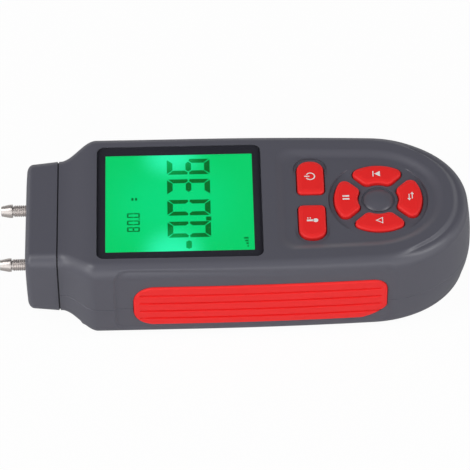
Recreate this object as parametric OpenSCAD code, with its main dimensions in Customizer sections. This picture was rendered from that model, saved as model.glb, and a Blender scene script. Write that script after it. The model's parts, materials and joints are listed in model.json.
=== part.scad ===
// Digital manometer: a handheld differential pressure meter with two hose barbs.
// Millimetres. X runs from the barbs (-X) to the tail (+X), +Z is out of the display.
// z = 0 is the flat back, and the origin lies under the middle of the overall box.

/* [Body] */
// Length over the barbs
total_l = 181; // [179:0.5:184]
// Width over the sides
total_w = 71; // [70:0.5:73]
// Height from the back to the face
total_h = 38; // [37.5:0.5:40]
// Width of the neck behind the head cap
neck_w = 54.6; // [53:0.2:56]
// Height of the underside of the neck above the back
neck_rise = 3; // [2:0.25:4]
// Drop of the top of the neck below the face
neck_drop = 3; // [2:0.25:4]
// Share of the height that lies below the seam between the shells
seam_share = 0.421; // [0.4:0.001:0.44]
// Distance from the barb tips to the seam between head cap and shells
head_l = 22.9; // [22:0.1:23.5]
// Distance from that seam to the start of the shoulder
shoulder_start = 0.4; // [0.4:0.1:1]
// Length of the shoulder
shoulder_run = 14; // [12:0.5:16]
// Distance from the barb tips to where the sides start to taper
widest_run = 74.5; // [66:0.5:85]
// Narrowing of each side where the tail starts
side_taper = 1.5; // [1:0.1:2]
// Length of the rounded tail
tail_l = 38.5; // [37:0.5:40]
// Power of the tail's curve, 2 for an ellipse
tail_power = 2.16; // [2:0.02:2.3]
// Thickness of the side walls
wall = 2.4; // [2.2:0.1:2.6]
// Thickness of the wall under the face
roof = 3; // [2.8:0.1:3.2]
// Thickness of the back
floor_t = 2.2; // [2:0.1:2.4]
// Rounding of the upper edge at the sides
top_round = 4.6; // [4:0.2:5]
// How much smaller that rounding is at the tail
tail_round_less = 1.1; // [0:0.1:1.5]
// Rounding of the lower edge
back_round = 5.5; // [5:0.25:6]
// Lean of the upper walls over their height
top_lean = 0.3; // [0.1:0.1:0.6]
// Lean of the lower walls over their height
back_lean = 0.6; // [0.2:0.1:0.8]
// Further lean of both at the tail
tail_lean = 1.1; // [0.5:0.1:1.4]
// Step from the shoulder up to the face at the sides
side_step = 1; // [0.8:0.1:1.2]
// Further step at the tail
tail_step = 0.5; // [0.2:0.1:0.7]
// Width of the step's slope at the sides
step_run = 0.5; // [0.3:0.1:0.8]
// Further width of the slope at the tail
tail_step_run = 2.3; // [1.5:0.1:2.6]
// Rounding inside the upper and lower edges
inner_round = 3; // [2.5:0.25:3.5]
// Height of the lip that lines up the shells
lip_h = 1.5; // [1.2:0.1:2]
// Thickness of that lip
lip_t = 1.1; // [1:0.1:1.3]

/* [Display] */
// Distance of the clear window from the end of the shoulder
window_head_gap = 0.4; // [0.2:0.1:1]
// Distance of the window from the keypad recess
window_tail_gap = 6.2; // [6:0.1:7]
// Width of the face beside the window
window_side_gap = 7; // [6.9:0.1:7.3]
// Corner radius of the window
window_r = 2.9; // [2.5:0.1:3.2]
// Thickness of the window
window_t = 1.5; // [1.4:0.1:1.6]
// Width of the window's dark border at its ends
border_end = 3.3; // [3:0.1:3.5]
// Width of the dark border at its sides
border_side = 3.8; // [3.6:0.1:4]
// Thickness of the dark adhesive frame under the window
mask_t = 0.2; // [0.15:0.05:0.25]
// Distance of the display glass from the window's ends
glass_end = 1.5; // [1.4:0.1:1.8]
// Distance of the display glass from the window's sides
glass_side = 2; // [1.9:0.1:2.3]
// Thickness of the display glass
glass_t = 2.6; // [2.4:0.1:2.7]
// Thickness of the light guide
guide_t = 2.2; // [2:0.1:2.4]
// Wall of the white display frame
frame_wall = 0.65; // [0.6:0.05:0.7]
// Length of one backlight lamp
lamp_l = 3.6; // [3:0.1:4]
// Width of one backlight lamp
lamp_w = 1; // [0.8:0.1:1.1]
// Distance of the backlight lamps from the window's middle, towards the head
lamp_back = 2.7; // [0:0.1:5]
// Width of the elastic connector strip
strip_w = 1.6; // [1.4:0.1:1.8]
// Distance of the elastic connector strip from the glass's sides
strip_side = 2.5; // [2:0.25:4]

/* [Keys] */
// Depth of the keypad recess
recess_depth = 1.2; // [1:0.1:1.3]
// Distance from the tail's end to the start of the recess
recess_run = 74.1; // [73.5:0.1:74.5]
// Width of the recess's sloping side
recess_slope = 4.4; // [4:0.1:4.8]
// Distance of the recess from the outline at the sides
recess_inset = 8.7; // [8.4:0.1:9.2]
// Further distance at the tail
recess_tail_inset = 1.8; // [1:0.1:2.2]
// Corner radius of the recess
recess_r = 6; // [5:0.5:7]
// Depth of the dishes around the keys
dish_depth = 0.5; // [0.4:0.05:0.55]
// Margin of the dish around the two upper keys
dish_margin = 2; // [1.8:0.1:2.2]
// Radius of the round dish
pad_dish_r = 19.2; // [19:0.1:19.5]
// Distance from the tail's end to the middle of the round key group
pad_back = 35.8; // [35.5:0.1:36]
// Outer radius of the round key group
pad_r = 16.85; // [16.6:0.05:17]
// Inner radius of the round key group
pad_inner_r = 7.9; // [7.7:0.1:8.2]
// Gap between two keys of the round group
pad_gap = 3.3; // [3:0.1:3.6]
// Corner radius of those keys
pad_corner = 2; // [1.8:0.1:2.2]
// Radius of the hub in the middle
hub_r = 5.7; // [5.5:0.1:5.9]
// Radius of the groove around the hub
hub_groove_r = 6.55; // [6.4:0.05:6.7]
// Rise of the hub above the dish
hub_rise = 0.9; // [0.7:0.1:1]
// Distance from the round group's middle to the middle of the two upper keys
pair_ahead = 25.6; // [25.2:0.1:25.7]
// Width of one upper key along the body
pair_w = 10.3; // [10:0.1:10.6]
// Distance of an upper key from the middle line
pair_y = 2.9; // [2.8:0.1:3.3]
// Length of one upper key across the body
pair_l = 16.8; // [16.4:0.1:17]
// Inner corner radius of an upper key
pair_inner_r = 1.3; // [1:0.1:1.6]
// Outer corner radius of an upper key
pair_outer_r = 4.2; // [4:0.1:4.6]
// Travel of each key
key_travel = 1; // [0.9:0.05:1]
// Clearance around each key
key_gap = 0.2; // [0.15:0.05:0.25]
// Width of the flange that holds a key in
flange_w = 1.1; // [1:0.1:1.2]
// Thickness of that flange
flange_t = 0.9; // [0.8:0.05:0.95]
// Radius of the plunger under a key
plunger_r = 2.4; // [2.2:0.1:2.6]
// Thickness of the rubber mat
mat_t = 0.8; // [0.7:0.1:0.8]
// Inner radius of a collar on the mat
collar_r = 3.2; // [3:0.1:3.4]
// Wall of a collar on the mat
collar_wall = 0.8; // [0.6:0.1:0.9]

/* [Side grips] */
// Distance of the grips from the end of the shoulder
grip_head_gap = 13.8; // [13:0.1:15]
// How far the grips run past the start of the rounded tail
grip_past = 5; // [4:0.1:6]
// Lower edge of the grips
grip_z0 = 6.5; // [6:0.1:7]
// Distance of the grips' upper edge below the face
grip_drop = 10; // [9.5:0.1:11]
// Share of the grips' height in the radius of their head ends
grip_round_share = 0.372; // [0.33:0.001:0.4]
// Radius of the upper tail corner
grip_tail_r = 5.5; // [5:0.25:6]
// Length of the slanted lower tail corner
grip_slant_l = 10; // [8:0.5:12]
// Height of the slanted lower tail corner
grip_slant_h = 7; // [6:0.5:8]
// Depth of the grips' pockets
grip_sink = 1.5; // [1.4:0.05:1.6]
// How far the grips stand out of the scoops
grip_proud = 0.6; // [0.5:0.05:0.7]
// Ribs on each grip
rib_count = 5; // [4:1:6]
// Width of a groove between two ribs
groove_w = 0.7; // [0.6:0.05:0.8]
// Depth of a groove
groove_d = 0.5; // [0.4:0.05:0.6]
// Length of rib left plain at each end
rib_margin = 3; // [2:0.25:4]
// Clearance of the grips in their pockets
grip_gap = 0.05; // [0.04:0.01:0.08]
// Radius of the pegs behind the grips
peg_r = 1.5; // [1.3:0.1:1.6]
// How far the pegs reach past the wall
peg_past = 0.8; // [0.6:0.1:1]
// Shares of the grips' length at which the pegs sit
peg_shares = [0.14, 0.49, 0.84];
// Distance of the upper pegs from the grips' upper edge
peg_top_in = 6; // [5:0.25:7]
// Distance of the lower pegs from the grips' lower edge
peg_low_in = 4.5; // [4:0.25:5]
// Depth of the scoop around each grip
scoop_d = 0.6; // [0.4:0.05:0.7]
// Margin of the scoop towards the head
scoop_head = 7.5; // [7:0.25:8]
// Margin of the scoop towards the tail
scoop_tail = 3.8; // [3:0.2:5]
// Margin of the scoop above the grip
scoop_top = 3.4; // [3:0.1:4]
// Margin of the scoop below the grip
scoop_low = 3; // [2.5:0.1:3.5]

/* [Head and ports] */
// Distance of the cap's front from the barb tips
barb_reach = 10; // [9.8:0.1:10.4]
// Gap between cap and shells, filled by the gasket
gasket_t = 0.45; // [0.4:0.05:0.5]
// Depth of the gasket's edge below the surface
gasket_sink = 0.5; // [0.4:0.1:0.7]
// Narrowing of the cap towards its front
cap_taper = 0.7; // [0.5:0.1:0.9]
// Rounding of the cap's front edge
cap_round = 2.6; // [2.2:0.2:3]
// Crown of the cap's front
cap_crown = 0.5; // [0.3:0.1:0.6]
// Distance from the rounding to the top of the crown
cap_crown_run = 7; // [5:0.5:8]
// Thickness of the cap's walls
cap_wall = 2.3; // [2.2:0.1:2.4]
// Length of the cap's spigot inside the shells
spigot_l = 5; // [4.5:0.25:5.5]
// Thickness of the spigot
spigot_t = 1.6; // [1.5:0.1:1.8]
// Clearance around the spigot
spigot_gap = 0.15; // [0.1:0.05:0.2]
// Distance of each barb from the middle line
barb_y = 13.8; // [13.5:0.1:14]
// Distance of the barbs below the middle of the cap
barb_drop = 0.4; // [0.2:0.1:0.8]
// Radius of a barb's tip
barb_tip_r = 1.95; // [1.9:0.05:2.05]
// Radius of a barb's crest, which holds the hose
barb_crest_r = 2.6; // [2.55:0.05:2.7]
// Length of the crest's cylinder
barb_land = 0.9; // [0.8:0.1:1]
// Distance from the tip to the end of the crest
barb_head_l = 4.4; // [4.2:0.1:4.6]
// Radius of a barb's neck
barb_neck_r = 2.1; // [2.05:0.05:2.15]
// Outer radius of a barb's thread
thread_r = 2.5; // [2.45:0.05:2.6]
// Length of thread seen in front of the cap
thread_show = 1.6; // [1.3:0.1:1.9]
// Depth of the cap's boss for the thread
port_boss_l = 2.6; // [2.4:0.1:3]
// Radius of that boss
port_boss_r = 4.6; // [4.4:0.1:5]
// Radius of the bore through a barb
barb_bore_r = 1; // [0.9:0.05:1.1]
// Distance across a port nut's flats
port_nut_w = 8; // [7.5:0.25:8.5]
// Thickness of a port nut
port_nut_t = 2.4; // [2.2:0.1:2.8]
// Thickness of a port's sealing washer
washer_t = 0.6; // [0.5:0.1:0.8]
// Thread left past the nut
thread_tail = 0.8; // [0.6:0.1:1]
// Radius of a barb's inner nipple
nipple_r = 1.4; // [1.35:0.05:1.42]
// Length of the inner nipple
nipple_l = 4.6; // [4.2:0.1:5]

/* [Pressure sensor] */
// Outer radius of a sensor tube
tube_r = 2.5; // [2.4:0.05:2.6]
// Bore radius of a sensor tube
tube_bore_r = 1.5; // [1.48:0.01:1.52]
// Distance from the head seam to the sensor's face that holds its ports
sensor_back = 27.6; // [27:0.1:28.5]
// Length of the sensor
sensor_l = 14; // [13:0.5:15]
// Width of the sensor
sensor_w = 16; // [15:0.5:17]
// Height of the sensor
sensor_h = 6.4; // [6:0.2:7]
// Distance of each sensor port from the middle line
port_y = 3.6; // [3.4:0.1:4]
// Height of the sensor ports above the sensor's lower side
port_rise = 3; // [2.8:0.1:3.2]
// Length of a sensor port
port_l = 5.6; // [5:0.2:6]
// Gap between a tube's end and what carries it
tube_end_gap = 0.3; // [0.2:0.05:0.4]

/* [Circuit board] */
// Distance of the board's upper side below the face
board_drop = 7.5; // [7.4:0.1:7.6]
// Thickness of the board
board_t = 1.6; // [1.5:0.1:1.6]
// Distance of the board from the body's outline
board_inset = 4.6; // [4.4:0.1:5]
// Distance of the board from the head seam
board_back = 6.6; // [6.2:0.1:7.6]
// Side of the microcontroller
chip_w = 12; // [10:0.5:14]
// Thickness of the chips
chip_t = 1.5; // [1.2:0.1:1.8]
// Distance of the microcontroller from the display's middle, towards the tail
chip_ahead = 17.3; // [16.8:0.1:21]
// Length of the signal amplifier
amp_l = 5; // [4.5:0.25:6]
// Width of the signal amplifier
amp_w = 4; // [3.5:0.25:5]
// Gap between the signal amplifier and the sensor
amp_gap = 2; // [1.5:0.25:3]
// Radius of a capacitor
cap_r = 2.5; // [2.2:0.1:3]
// Height of a capacitor
cap_h = 7; // [6:0.5:8]
// Distance of two capacitors from the battery bay's end
cap_ahead = 13.5; // [8:0.5:16]
// Distance of those two from the middle line
cap_y = 12; // [10:0.5:14]
// Place of the third capacitor, from the sensor's ports and the middle line
sensor_cap = [10, 17];

/* [Battery bay] */
// Length of the bay
bay_l = 53.2; // [53:0.1:53.6]
// Distance of the bay from the tail's end
bay_back = 26.8; // [26.5:0.1:27]
// Half the width of the bay
bay_y = 17.2; // [17:0.1:17.5]
// Height of the bay's ceiling
bay_z = 13.4; // [13.3:0.1:13.6]
// Thickness of the bay's walls
bay_wall = 1.4; // [1.3:0.1:1.5]
// Radius of one AAA cell
cell_r = 5.15; // [5.1:0.05:5.2]
// Length of a cell without its nub
cell_l = 43.5; // [43:0.1:43.6]
// Radius of a cell's nub
nub_r = 1.9; // [1.8:0.1:2]
// Length of a cell's nub
nub_l = 1; // [0.9:0.1:1.1]
// Distance between two cells
cell_pitch = 11.2; // [11:0.1:11.4]
// Thickness of the battery door
door_t = 2; // [1.9:0.05:2]
// Seat of the door around the bay
door_seat = 1.2; // [1.1:0.1:1.3]
// Clearance around the door
door_gap = 0.3; // [0.25:0.05:0.35]
// Depth of the door's face below the back
door_sink = 0.1; // [0.05:0.05:0.15]
// Height of the ribs that carry the cells
door_rib_h = 0.4; // [0.3:0.05:0.4]
// Width of those ribs
door_rib_w = 1.2; // [1:0.1:1.4]
// Shares of the bay's length at which those ribs sit
door_rib_shares = [0.22, 0.5, 0.78];
// Radius of the door's hinge knuckles
knuckle_r = 1.2; // [1.15:0.05:1.25]
// Running clearance of the knuckles
knuckle_gap = 0.06; // [0.05:0.01:0.08]
// Width of one knuckle
knuckle_w = 6; // [5.5:0.25:6.5]
// Distance of each knuckle from the middle line
knuckle_y = 9; // [8.5:0.25:9.5]
// Distance of the hinge line from the bay
hinge_reach = 3.4; // [3.2:0.1:3.6]
// Height of the hinge line
hinge_z = 1.9; // [1.85:0.05:1.95]
// Height of the clearance in which the door's edge swings at its hinge
hinge_relief_h = 1; // [0.95:0.05:1.1]
// Height of the shell's block around the knuckles
hinge_block_h = 4.6; // [4.4:0.1:5]
// Width of each of the door's two latch tongues, which stand between the cells
latch_w = 2; // [1.6:0.1:2]
// Height of the latch tongues above the door
latch_h = 3; // [2.5:0.1:3.5]
// Thickness of the latch tongues
latch_t = 1; // [0.9:0.1:1.2]
// Clearance of the latch tongues to the bay's wall
latch_gap = 0.2; // [0.15:0.05:0.3]
// Width of the finger notch at the door
notch_w = 12; // [10:0.5:14]
// Radius of the finger notch at the door
notch_r = 6; // [5:0.5:7]
// Depth of the finger notch
notch_d = 0.9; // [0.7:0.1:1]
// Thickness of the contact plates
plate_t = 0.4; // [0.3:0.05:0.5]
// Side of the contact plates
plate_w = 8.6; // [8:0.1:9]
// Width of the terminal tabs through the bay's wall
tab_w = 2; // [1.8:0.1:2.4]
// How far a terminal tab stands out of the wall
tab_out = 1.6; // [1.4:0.1:2]
// Radius of the springs' wire
wire_r = 0.3; // [0.25:0.05:0.35]
// Radius of the springs at the plate
spring_base_r = 3.6; // [3.4:0.1:3.8]
// Radius of the springs at the cell
spring_tip_r = 1.8; // [1.6:0.1:2]
// Turns of each spring
spring_turns = 4; // [3:1:5]
// Radius of the battery leads
lead_r = 0.7; // [0.6:0.05:0.8]

/* [Screws] */
// Shank radius of a case screw
case_r = 1.4; // [1.3:0.05:1.5]
// Head radius of a case screw
case_head_r = 2.6; // [2.5:0.1:2.8]
// Head height of a case screw
case_head_h = 1.8; // [1.6:0.1:2]
// Height at which a case screw's head sits
case_seat_z = 6; // [5.5:0.25:6.5]
// Reach of a case screw past the seam
case_reach = 8; // [7:0.5:9]
// Clearance of screws in their holes
screw_gap = 0.3; // [0.2:0.05:0.35]
// Wall around a case screw
case_boss_wall = 1.7; // [1.6:0.1:1.8]
// Distance of the head-side case screws from the head seam
case_head_back = 10.8; // [10.5:0.1:11]
// Distance of the head-side case screws from the outline
case_head_in = 6.75; // [6.6:0.05:6.9]
// Distance of the tail-side case screws from the tail's end
case_tail_back = 20; // [19.5:0.1:20.3]
// Share of the way from the hinge to the outline at which the tail-side case screws stand
case_tail_share = 0.282; // [0.27:0.002:0.3]
// Shank radius of a small screw
small_r = 0.9; // [0.85:0.05:1]
// Head radius of a small screw
small_head_r = 1.9; // [1.8:0.1:2]
// Head height of a small screw
small_head_h = 1.2; // [1.1:0.1:1.3]
// Reach of a small screw into its post
small_reach = 3; // [2.8:0.1:3.2]
// Radius of a post for a small screw
post_r = 2.4; // [2.2:0.1:2.6]
// Distance of the head-side board screws from the head seam
board_head_back = 10; // [9.5:0.1:10.5]
// Distance of the head-side board screws from the case screws, towards the middle line
board_head_in = 8.8; // [8.4:0.1:9.2]
// Distance of the middle board screws from the keypad recess
board_mid_gap = 2; // [1.5:0.1:2.5]
// Distance of the middle board screws from the outline
board_mid_in = 7.2; // [7:0.1:7.6]
// Distance of the single board screw from the tail's end
board_tail_back = 13.1; // [12.8:0.1:13.4]
// Distance of the cap screws from the cap's seam
cap_screw_back = 2.4; // [2.2:0.1:2.6]
// Distance of the cap screws from the middle line
cap_screw_y = 19; // [18.5:0.25:19.5]
// Depth of the cap screws' heads in the shell
cap_screw_sink = 1.3; // [1.2:0.1:1.4]
// Side of the spigot's blocks for the cap screws
cap_block_w = 4.6; // [4.4:0.1:4.8]
// Radius of a screw's cross recess
cross_r = 0.9; // [0.8:0.1:1]
// Width of a cross recess
cross_w = 0.5; // [0.4:0.1:0.6]
// Depth of a cross recess
cross_d = 0.8; // [0.6:0.1:0.9]

/* [Detail] */
// Steps along the shoulder
shoulder_steps = 10; // [8:1:16]
// Steps along the straight sides
side_steps = 9; // [6:1:16]
// Steps around half of the tail
tail_steps = 16; // [12:1:24]
// Steps around a rounded edge
round_steps = 6; // [4:1:10]
// Steps along a tube or wire
sweep_steps = 16; // [12:1:24]
// Sides of a tube
tube_sides = 12; // [10:1:16]
// Sides of a wire
wire_sides = 6; // [6:1:8]

/* [Hidden] */
$fn = 48;
// Overlap of a cut past the surface that it opens
cut = 1;
// Depth by which joined solids bite into each other
bite = 0.2;
// Height of a slice that stands for a flat outline
slice = 0.01;
// Share of the walls' height at which they are still upright
upright_share = 0.5;
// Share of the lean reached there
upright_lean_share = 0.25;
// Power that fades the face's step out along the shoulder
step_fade = 4;
// Share of the face's step left as a crown on the neck
neck_step_share = 0.1;
// Share by which the lip's root is lower than the lip is high
lip_root_share = 2;
// Share of a knuckle's radius that the clearance of the door's edge stops short of the hinge line
relief_share = 0.75;
full_turn = 360;
half_turn = 180;
quarter_turn = 90;

tail_end_x = total_l / 2;
tail_x = tail_end_x - tail_l;
barb_tip_x = -total_l / 2;
neck_x = barb_tip_x + head_l;
shoulder_x = neck_x + shoulder_start;
widest_x = barb_tip_x + widest_run;
seam_z = total_h * seam_share;
cap_front_x = barb_tip_x + barb_reach;
cap_seam_x = neck_x - gasket_t;
body_x = shoulder_x + shoulder_run;
taper_run = tail_x - widest_x;
neck_top_z = total_h - neck_drop;
neck_mid_z = (neck_top_z + neck_rise) / 2;
neck_half_h = (neck_top_z - neck_rise) / 2;
barb_z = neck_mid_z - barb_drop;
ceiling_z = total_h - roof;
recess_z = total_h - recess_depth;
dish_z = recess_z - dish_depth;
mask_z = total_h - window_t - mask_t;
glass_z = mask_z - glass_t - bite / 2;
guide_z = glass_z - guide_t - bite / 2;
key_z = ceiling_z - flange_t;
recess_x = tail_end_x - recess_run;
pad_x = tail_end_x - pad_back;
pair_x = pad_x - pair_ahead;
window_x0 = body_x + window_head_gap;
window_x1 = recess_x - window_tail_gap;
window_x = (window_x0 + window_x1) / 2;
window_l = window_x1 - window_x0;
window_w = total_w - window_side_gap * 2;
view_l = window_l - border_end * 2;
view_w = window_w - border_side * 2;
glass_l = window_l - glass_end * 2;
glass_w = window_w - glass_side * 2;
strip_l = glass_w - strip_side * 2;
lamp_x = window_x - lamp_back;
grip_x0 = body_x + grip_head_gap;
grip_x1 = tail_x + grip_past;
grip_z1 = total_h - grip_drop;
grip_r = (grip_z1 - grip_z0) * grip_round_share;
peg_xs = [for (share = peg_shares) grip_x0 + (grip_x1 - grip_x0) * share];
peg_high_z = grip_z1 - peg_top_in;
peg_low_z = grip_z0 + peg_low_in;
board_z = total_h - board_drop;
board_x = neck_x + board_back;
mat_z = board_z;
collar_z = key_z - key_travel - bite / 2;
plunger_z = board_z + mat_t + key_travel + bite / 2;
board_low_z = board_z - board_t;
sensor_z = board_low_z - sensor_h;
port_z = sensor_z + port_rise;
sensor_x = neck_x + sensor_back;
chip_x = window_x + chip_ahead;
amp_place = [sensor_x + sensor_l / 2, (sensor_w + amp_w) / 2 + amp_gap];
bay_x1 = tail_end_x - bay_back;
bay_x0 = bay_x1 - bay_l;
cap_places = [
    [bay_x0 + cap_ahead, cap_y], [bay_x0 + cap_ahead, -cap_y],
    [sensor_x + sensor_cap[0], sensor_cap[1]]
];
cell_z = door_t + door_sink + door_rib_h + cell_r;
door_x0 = bay_x0 - door_seat;
door_x1 = bay_x1 + door_seat;
door_y = bay_y + door_seat;
hinge_x = bay_x1 + hinge_reach;
cell_rows = [-1, 0, 1];

// Smooth rise from 0 to 1
function ease(t) = let (u = min(1, max(0, t))) u * u * (3 - 2 * u);

// Share of the shoulder passed at x
function shoulder(x) = ease((x - shoulder_x) / shoulder_run);

// Half the width of the body without its rounded tail
function side_y(x) = neck_w / 2 + (total_w - neck_w) / 2 * shoulder(x)
    - side_taper * pow(max(0, x - widest_x) / taper_run, 2);

// Share of the width that the rounded tail leaves
function tail_share(x) = pow(1 - pow(min(1, max(0, x - tail_x) / tail_l), tail_power), 1 / tail_power);

// Half the width of the body's outline
function edge_y(x) = side_y(x) * tail_share(x);

// Places of the case screws and of the board screws
case_head_x = neck_x + case_head_back;
case_head_y = edge_y(case_head_x) - case_head_in;
case_tail_x = tail_end_x - case_tail_back;
knuckle_end_y = knuckle_y + knuckle_w / 2;
case_tail_y = knuckle_end_y + (edge_y(case_tail_x) - knuckle_end_y) * case_tail_share;
case_screw_places = [
    for (side = [-1, 1])
        for (place = [[case_head_x, case_head_y], [case_tail_x, case_tail_y]])
            [place[0], side * place[1]]
];
board_mid_x = recess_x - board_mid_gap;
board_screw_places = concat(
    [
        for (side = [1, -1])
            for (place = [
                [neck_x + board_head_back, case_head_y - board_head_in],
                [board_mid_x, edge_y(board_mid_x) - board_mid_in]
            ])
                [place[0], side * place[1]]
    ],
    [[tail_end_x - board_tail_back, 0]]
);

// A station is x, y, the direction of its insets, the shoulder's share and the tail's share
function side_station(x) = [x, side_y(x), 0, 1, shoulder(x), 0];
function tail_station(a) =
    let (x = tail_x + tail_l * pow(sin(a), 2 / tail_power))
    [x, side_y(x) * pow(cos(a), 2 / tail_power), sin(a), cos(a), 1, pow(sin(a), 2)];

stations = concat(
    [for (i = [0 : shoulder_steps]) side_station(neck_x + (body_x - neck_x) * i / shoulder_steps)],
    [for (i = [1 : side_steps]) side_station(body_x + (tail_x - body_x) * i / side_steps)],
    [for (i = [1 : tail_steps]) tail_station(quarter_turn * i / tail_steps)]
);
open_stations = concat([side_station(neck_x - cut)], stations);

// Heights and insets of the shells at one station
function face_z(s) = neck_top_z + neck_drop * s[4];
function step_share(s) = neck_step_share + (1 - neck_step_share) * pow(s[4], step_fade);
function step_h(s) = (side_step + tail_step * s[5]) * step_share(s);
function rise_z(s) = neck_rise * (1 - s[4]);
function roof_z(s) = face_z(s) - wall - (roof - wall) * s[4];
function top_r(s) = top_round - tail_round_less * s[5];
function slope_w(s) = step_run + tail_step_run * s[5];

function arc_levels(start, z, r, up) = [
    for (i = [0 : round_steps])
        let (a = quarter_turn * i / round_steps)
        [start + r * (1 - cos(a)), z + up * r * sin(a)]
];

function front_levels(s) =
    let (lean = top_lean + tail_lean * s[5], r = top_r(s), z = face_z(s) - step_h(s) - r)
    concat(
        [[0, seam_z], [lean * upright_lean_share, seam_z + (z - seam_z) * upright_share]],
        arc_levels(lean, z, r, 1),
        [[lean + r + slope_w(s), face_z(s)]]
    );

function back_levels(s) =
    let (lean = back_lean + tail_lean * s[5], z = rise_z(s) + back_round)
    concat(
        [[0, seam_z], [lean * upright_lean_share, seam_z + (z - seam_z) * upright_share]],
        arc_levels(lean, z, back_round, -1)
    );

function front_hollow_levels(s) =
    let (lean = top_lean + tail_lean * s[5], z = roof_z(s) - inner_round)
    concat(
        [[wall, seam_z - cut], [wall, seam_z + lip_h + bite]],
        arc_levels(wall + lean, z, inner_round, 1)
    );

function back_hollow_levels(s) =
    let (lean = back_lean + tail_lean * s[5], z = rise_z(s) + floor_t + inner_round)
    concat([[wall, seam_z + cut]], arc_levels(wall + lean, z, inner_round, -1));

function ring(s, levels) = [
    for (level = levels) [s[0] - s[2] * level[0], s[1] - s[3] * level[0], level[1]]
];

// Outline of the body at one inset, as a closed list of points from x_from on
function outline(inset, x_from) =
    let (half = [for (s = stations) if (s[0] >= x_from) [s[0] - s[2] * inset, s[1] - s[3] * inset]])
    let (first = [x_from, edge_y(x_from) - inset])
    concat(
        [first],
        half,
        [for (i = [len(half) - 2 : -1 : 0]) [half[i][0], -half[i][1]]],
        [[first[0], -first[1]]]
    );

function arc_points(centre, r, from, to) = [
    for (i = [0 : round_steps])
        let (a = from + (to - from) * i / round_steps)
        [centre[0] + r * cos(a), centre[1] + r * sin(a)]
];

// Rectangle with two radii: r0 at its lower corners and r1 at its upper ones
function round_rect(x0, x1, y0, y1, r0, r1) = concat(
    arc_points([x1 - r0, y0 + r0], r0, -quarter_turn, 0),
    arc_points([x1 - r1, y1 - r1], r1, 0, quarter_turn),
    arc_points([x0 + r1, y1 - r1], r1, quarter_turn, half_turn),
    arc_points([x0 + r0, y0 + r0], r0, half_turn, half_turn + quarter_turn)
);

// Solid between rings of points on the +Y side and their mirror images
module loft(rings, upward) {
    n = len(rings);
    m = len(rings[0]);
    right = [for (r = rings) for (p = r) p];
    left = [for (p = right) [p[0], -p[1], p[2]]];
    function at(i, j, side) = side > 0 || i == n - 1 ? i * m + j : n * m + i * m + j;
    sides = [
        for (i = [0 : n - 2])
            for (j = [0 : m - 2])
                for (side = [1, -1])
                    let (a = at(i, j, side), b = at(i + 1, j, side))
                    let (c = at(i + 1, j + 1, side), d = at(i, j + 1, side))
                    each side > 0 ? [[a, b, c], [a, c, d]] : [[a, c, b], [a, d, c]]
    ];
    caps = [
        for (i = [0 : n - 2])
            for (j = [0, m - 1])
                let (a = at(i, j, 1), b = at(i + 1, j, 1), c = at(i + 1, j, -1), d = at(i, j, -1))
                let (whole = b == c ? [[a, b, d]] : [[a, b, c], [a, c, d]])
                for (f = whole) j == 0 ? [f[2], f[1], f[0]] : f
    ];
    end = [
        for (j = [0 : m - 2])
            let (a = at(0, j + 1, 1), b = at(0, j + 1, -1), c = at(0, j, -1), d = at(0, j, 1))
            each [[a, b, c], [a, c, d]]
    ];
    faces = concat(sides, caps, end);
    polyhedron(
        points = concat(right, left),
        faces = upward ? faces : [for (f = faces) [f[2], f[1], f[0]]],
        convexity = 6
    );
}

// Solid through closed rings of equal length, with flat ends
module ring_loft(rings) {
    n = len(rings);
    m = len(rings[0]);
    polyhedron(
        points = [for (r = rings) for (p = r) p],
        faces = concat(
            [[for (j = [0 : m - 1]) j]],
            [
                for (i = [0 : n - 2])
                    for (j = [0 : m - 1])
                        let (k = (j + 1) % m)
                        each [
                            [i * m + j, (i + 1) * m + j, (i + 1) * m + k],
                            [i * m + j, (i + 1) * m + k, i * m + k]
                        ]
            ],
            [[for (j = [m - 1 : -1 : 0]) (n - 1) * m + j]]
        ),
        convexity = 4
    );
}

// Wall of a hose: outer rings, then inner rings backwards, joined into a closed loop
module hose_loft(outer, inner) {
    n = len(outer);
    m = len(outer[0]);
    rings = concat(outer, [for (i = [n - 1 : -1 : 0]) inner[i]]);
    polyhedron(
        points = [for (r = rings) for (p = r) p],
        faces = [
            for (i = [0 : 2 * n - 1])
                for (j = [0 : m - 1])
                    let (k = (j + 1) % m, next = (i + 1) % (2 * n))
                    each [
                        [i * m + j, next * m + j, next * m + k],
                        [i * m + j, next * m + k, i * m + k]
                    ]
        ],
        convexity = 6
    );
}

function unit(v) = v / norm(v);

// Rings of a round tube along a list of points, without twist
function tube_rings(path, r, sides) = [
    for (i = [0 : len(path) - 1])
        let (before = path[max(0, i - 1)], after = path[min(len(path) - 1, i + 1)])
        let (along = unit(after - before))
        let (across = unit(cross([0, 0, 1], along)), over = cross(along, across))
        [
            for (j = [0 : sides - 1])
                let (a = full_turn * j / sides)
                path[i] + across * (r * cos(a)) + over * (r * sin(a))
        ]
];

// Pie slice of the round key group, turned to one of its four places
module pad_outline(turn, grow) {
    reach = pad_r * 2;
    translate([pad_x, 0])
        rotate(turn)
            offset(r = pad_corner + grow)
                offset(delta = -pad_corner)
                    difference() {
                        intersection() {
                            circle(pad_r);
                            translate([pad_gap / sqrt(2), 0])
                                polygon([[0, 0], [reach, -reach], [reach, reach]]);
                        }
                        circle(pad_inner_r);
                    }
}

// Outline of an upper key, on the +Y side or mirrored
module pair_outline(side, grow) {
    mirror([0, side > 0 ? 0 : 1])
        polygon(round_rect(
            pair_x - pair_w / 2 - grow, pair_x + pair_w / 2 + grow,
            pair_y - grow, pair_y + pair_l + grow,
            pair_inner_r + grow, pair_outer_r + grow
        ));
}

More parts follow.
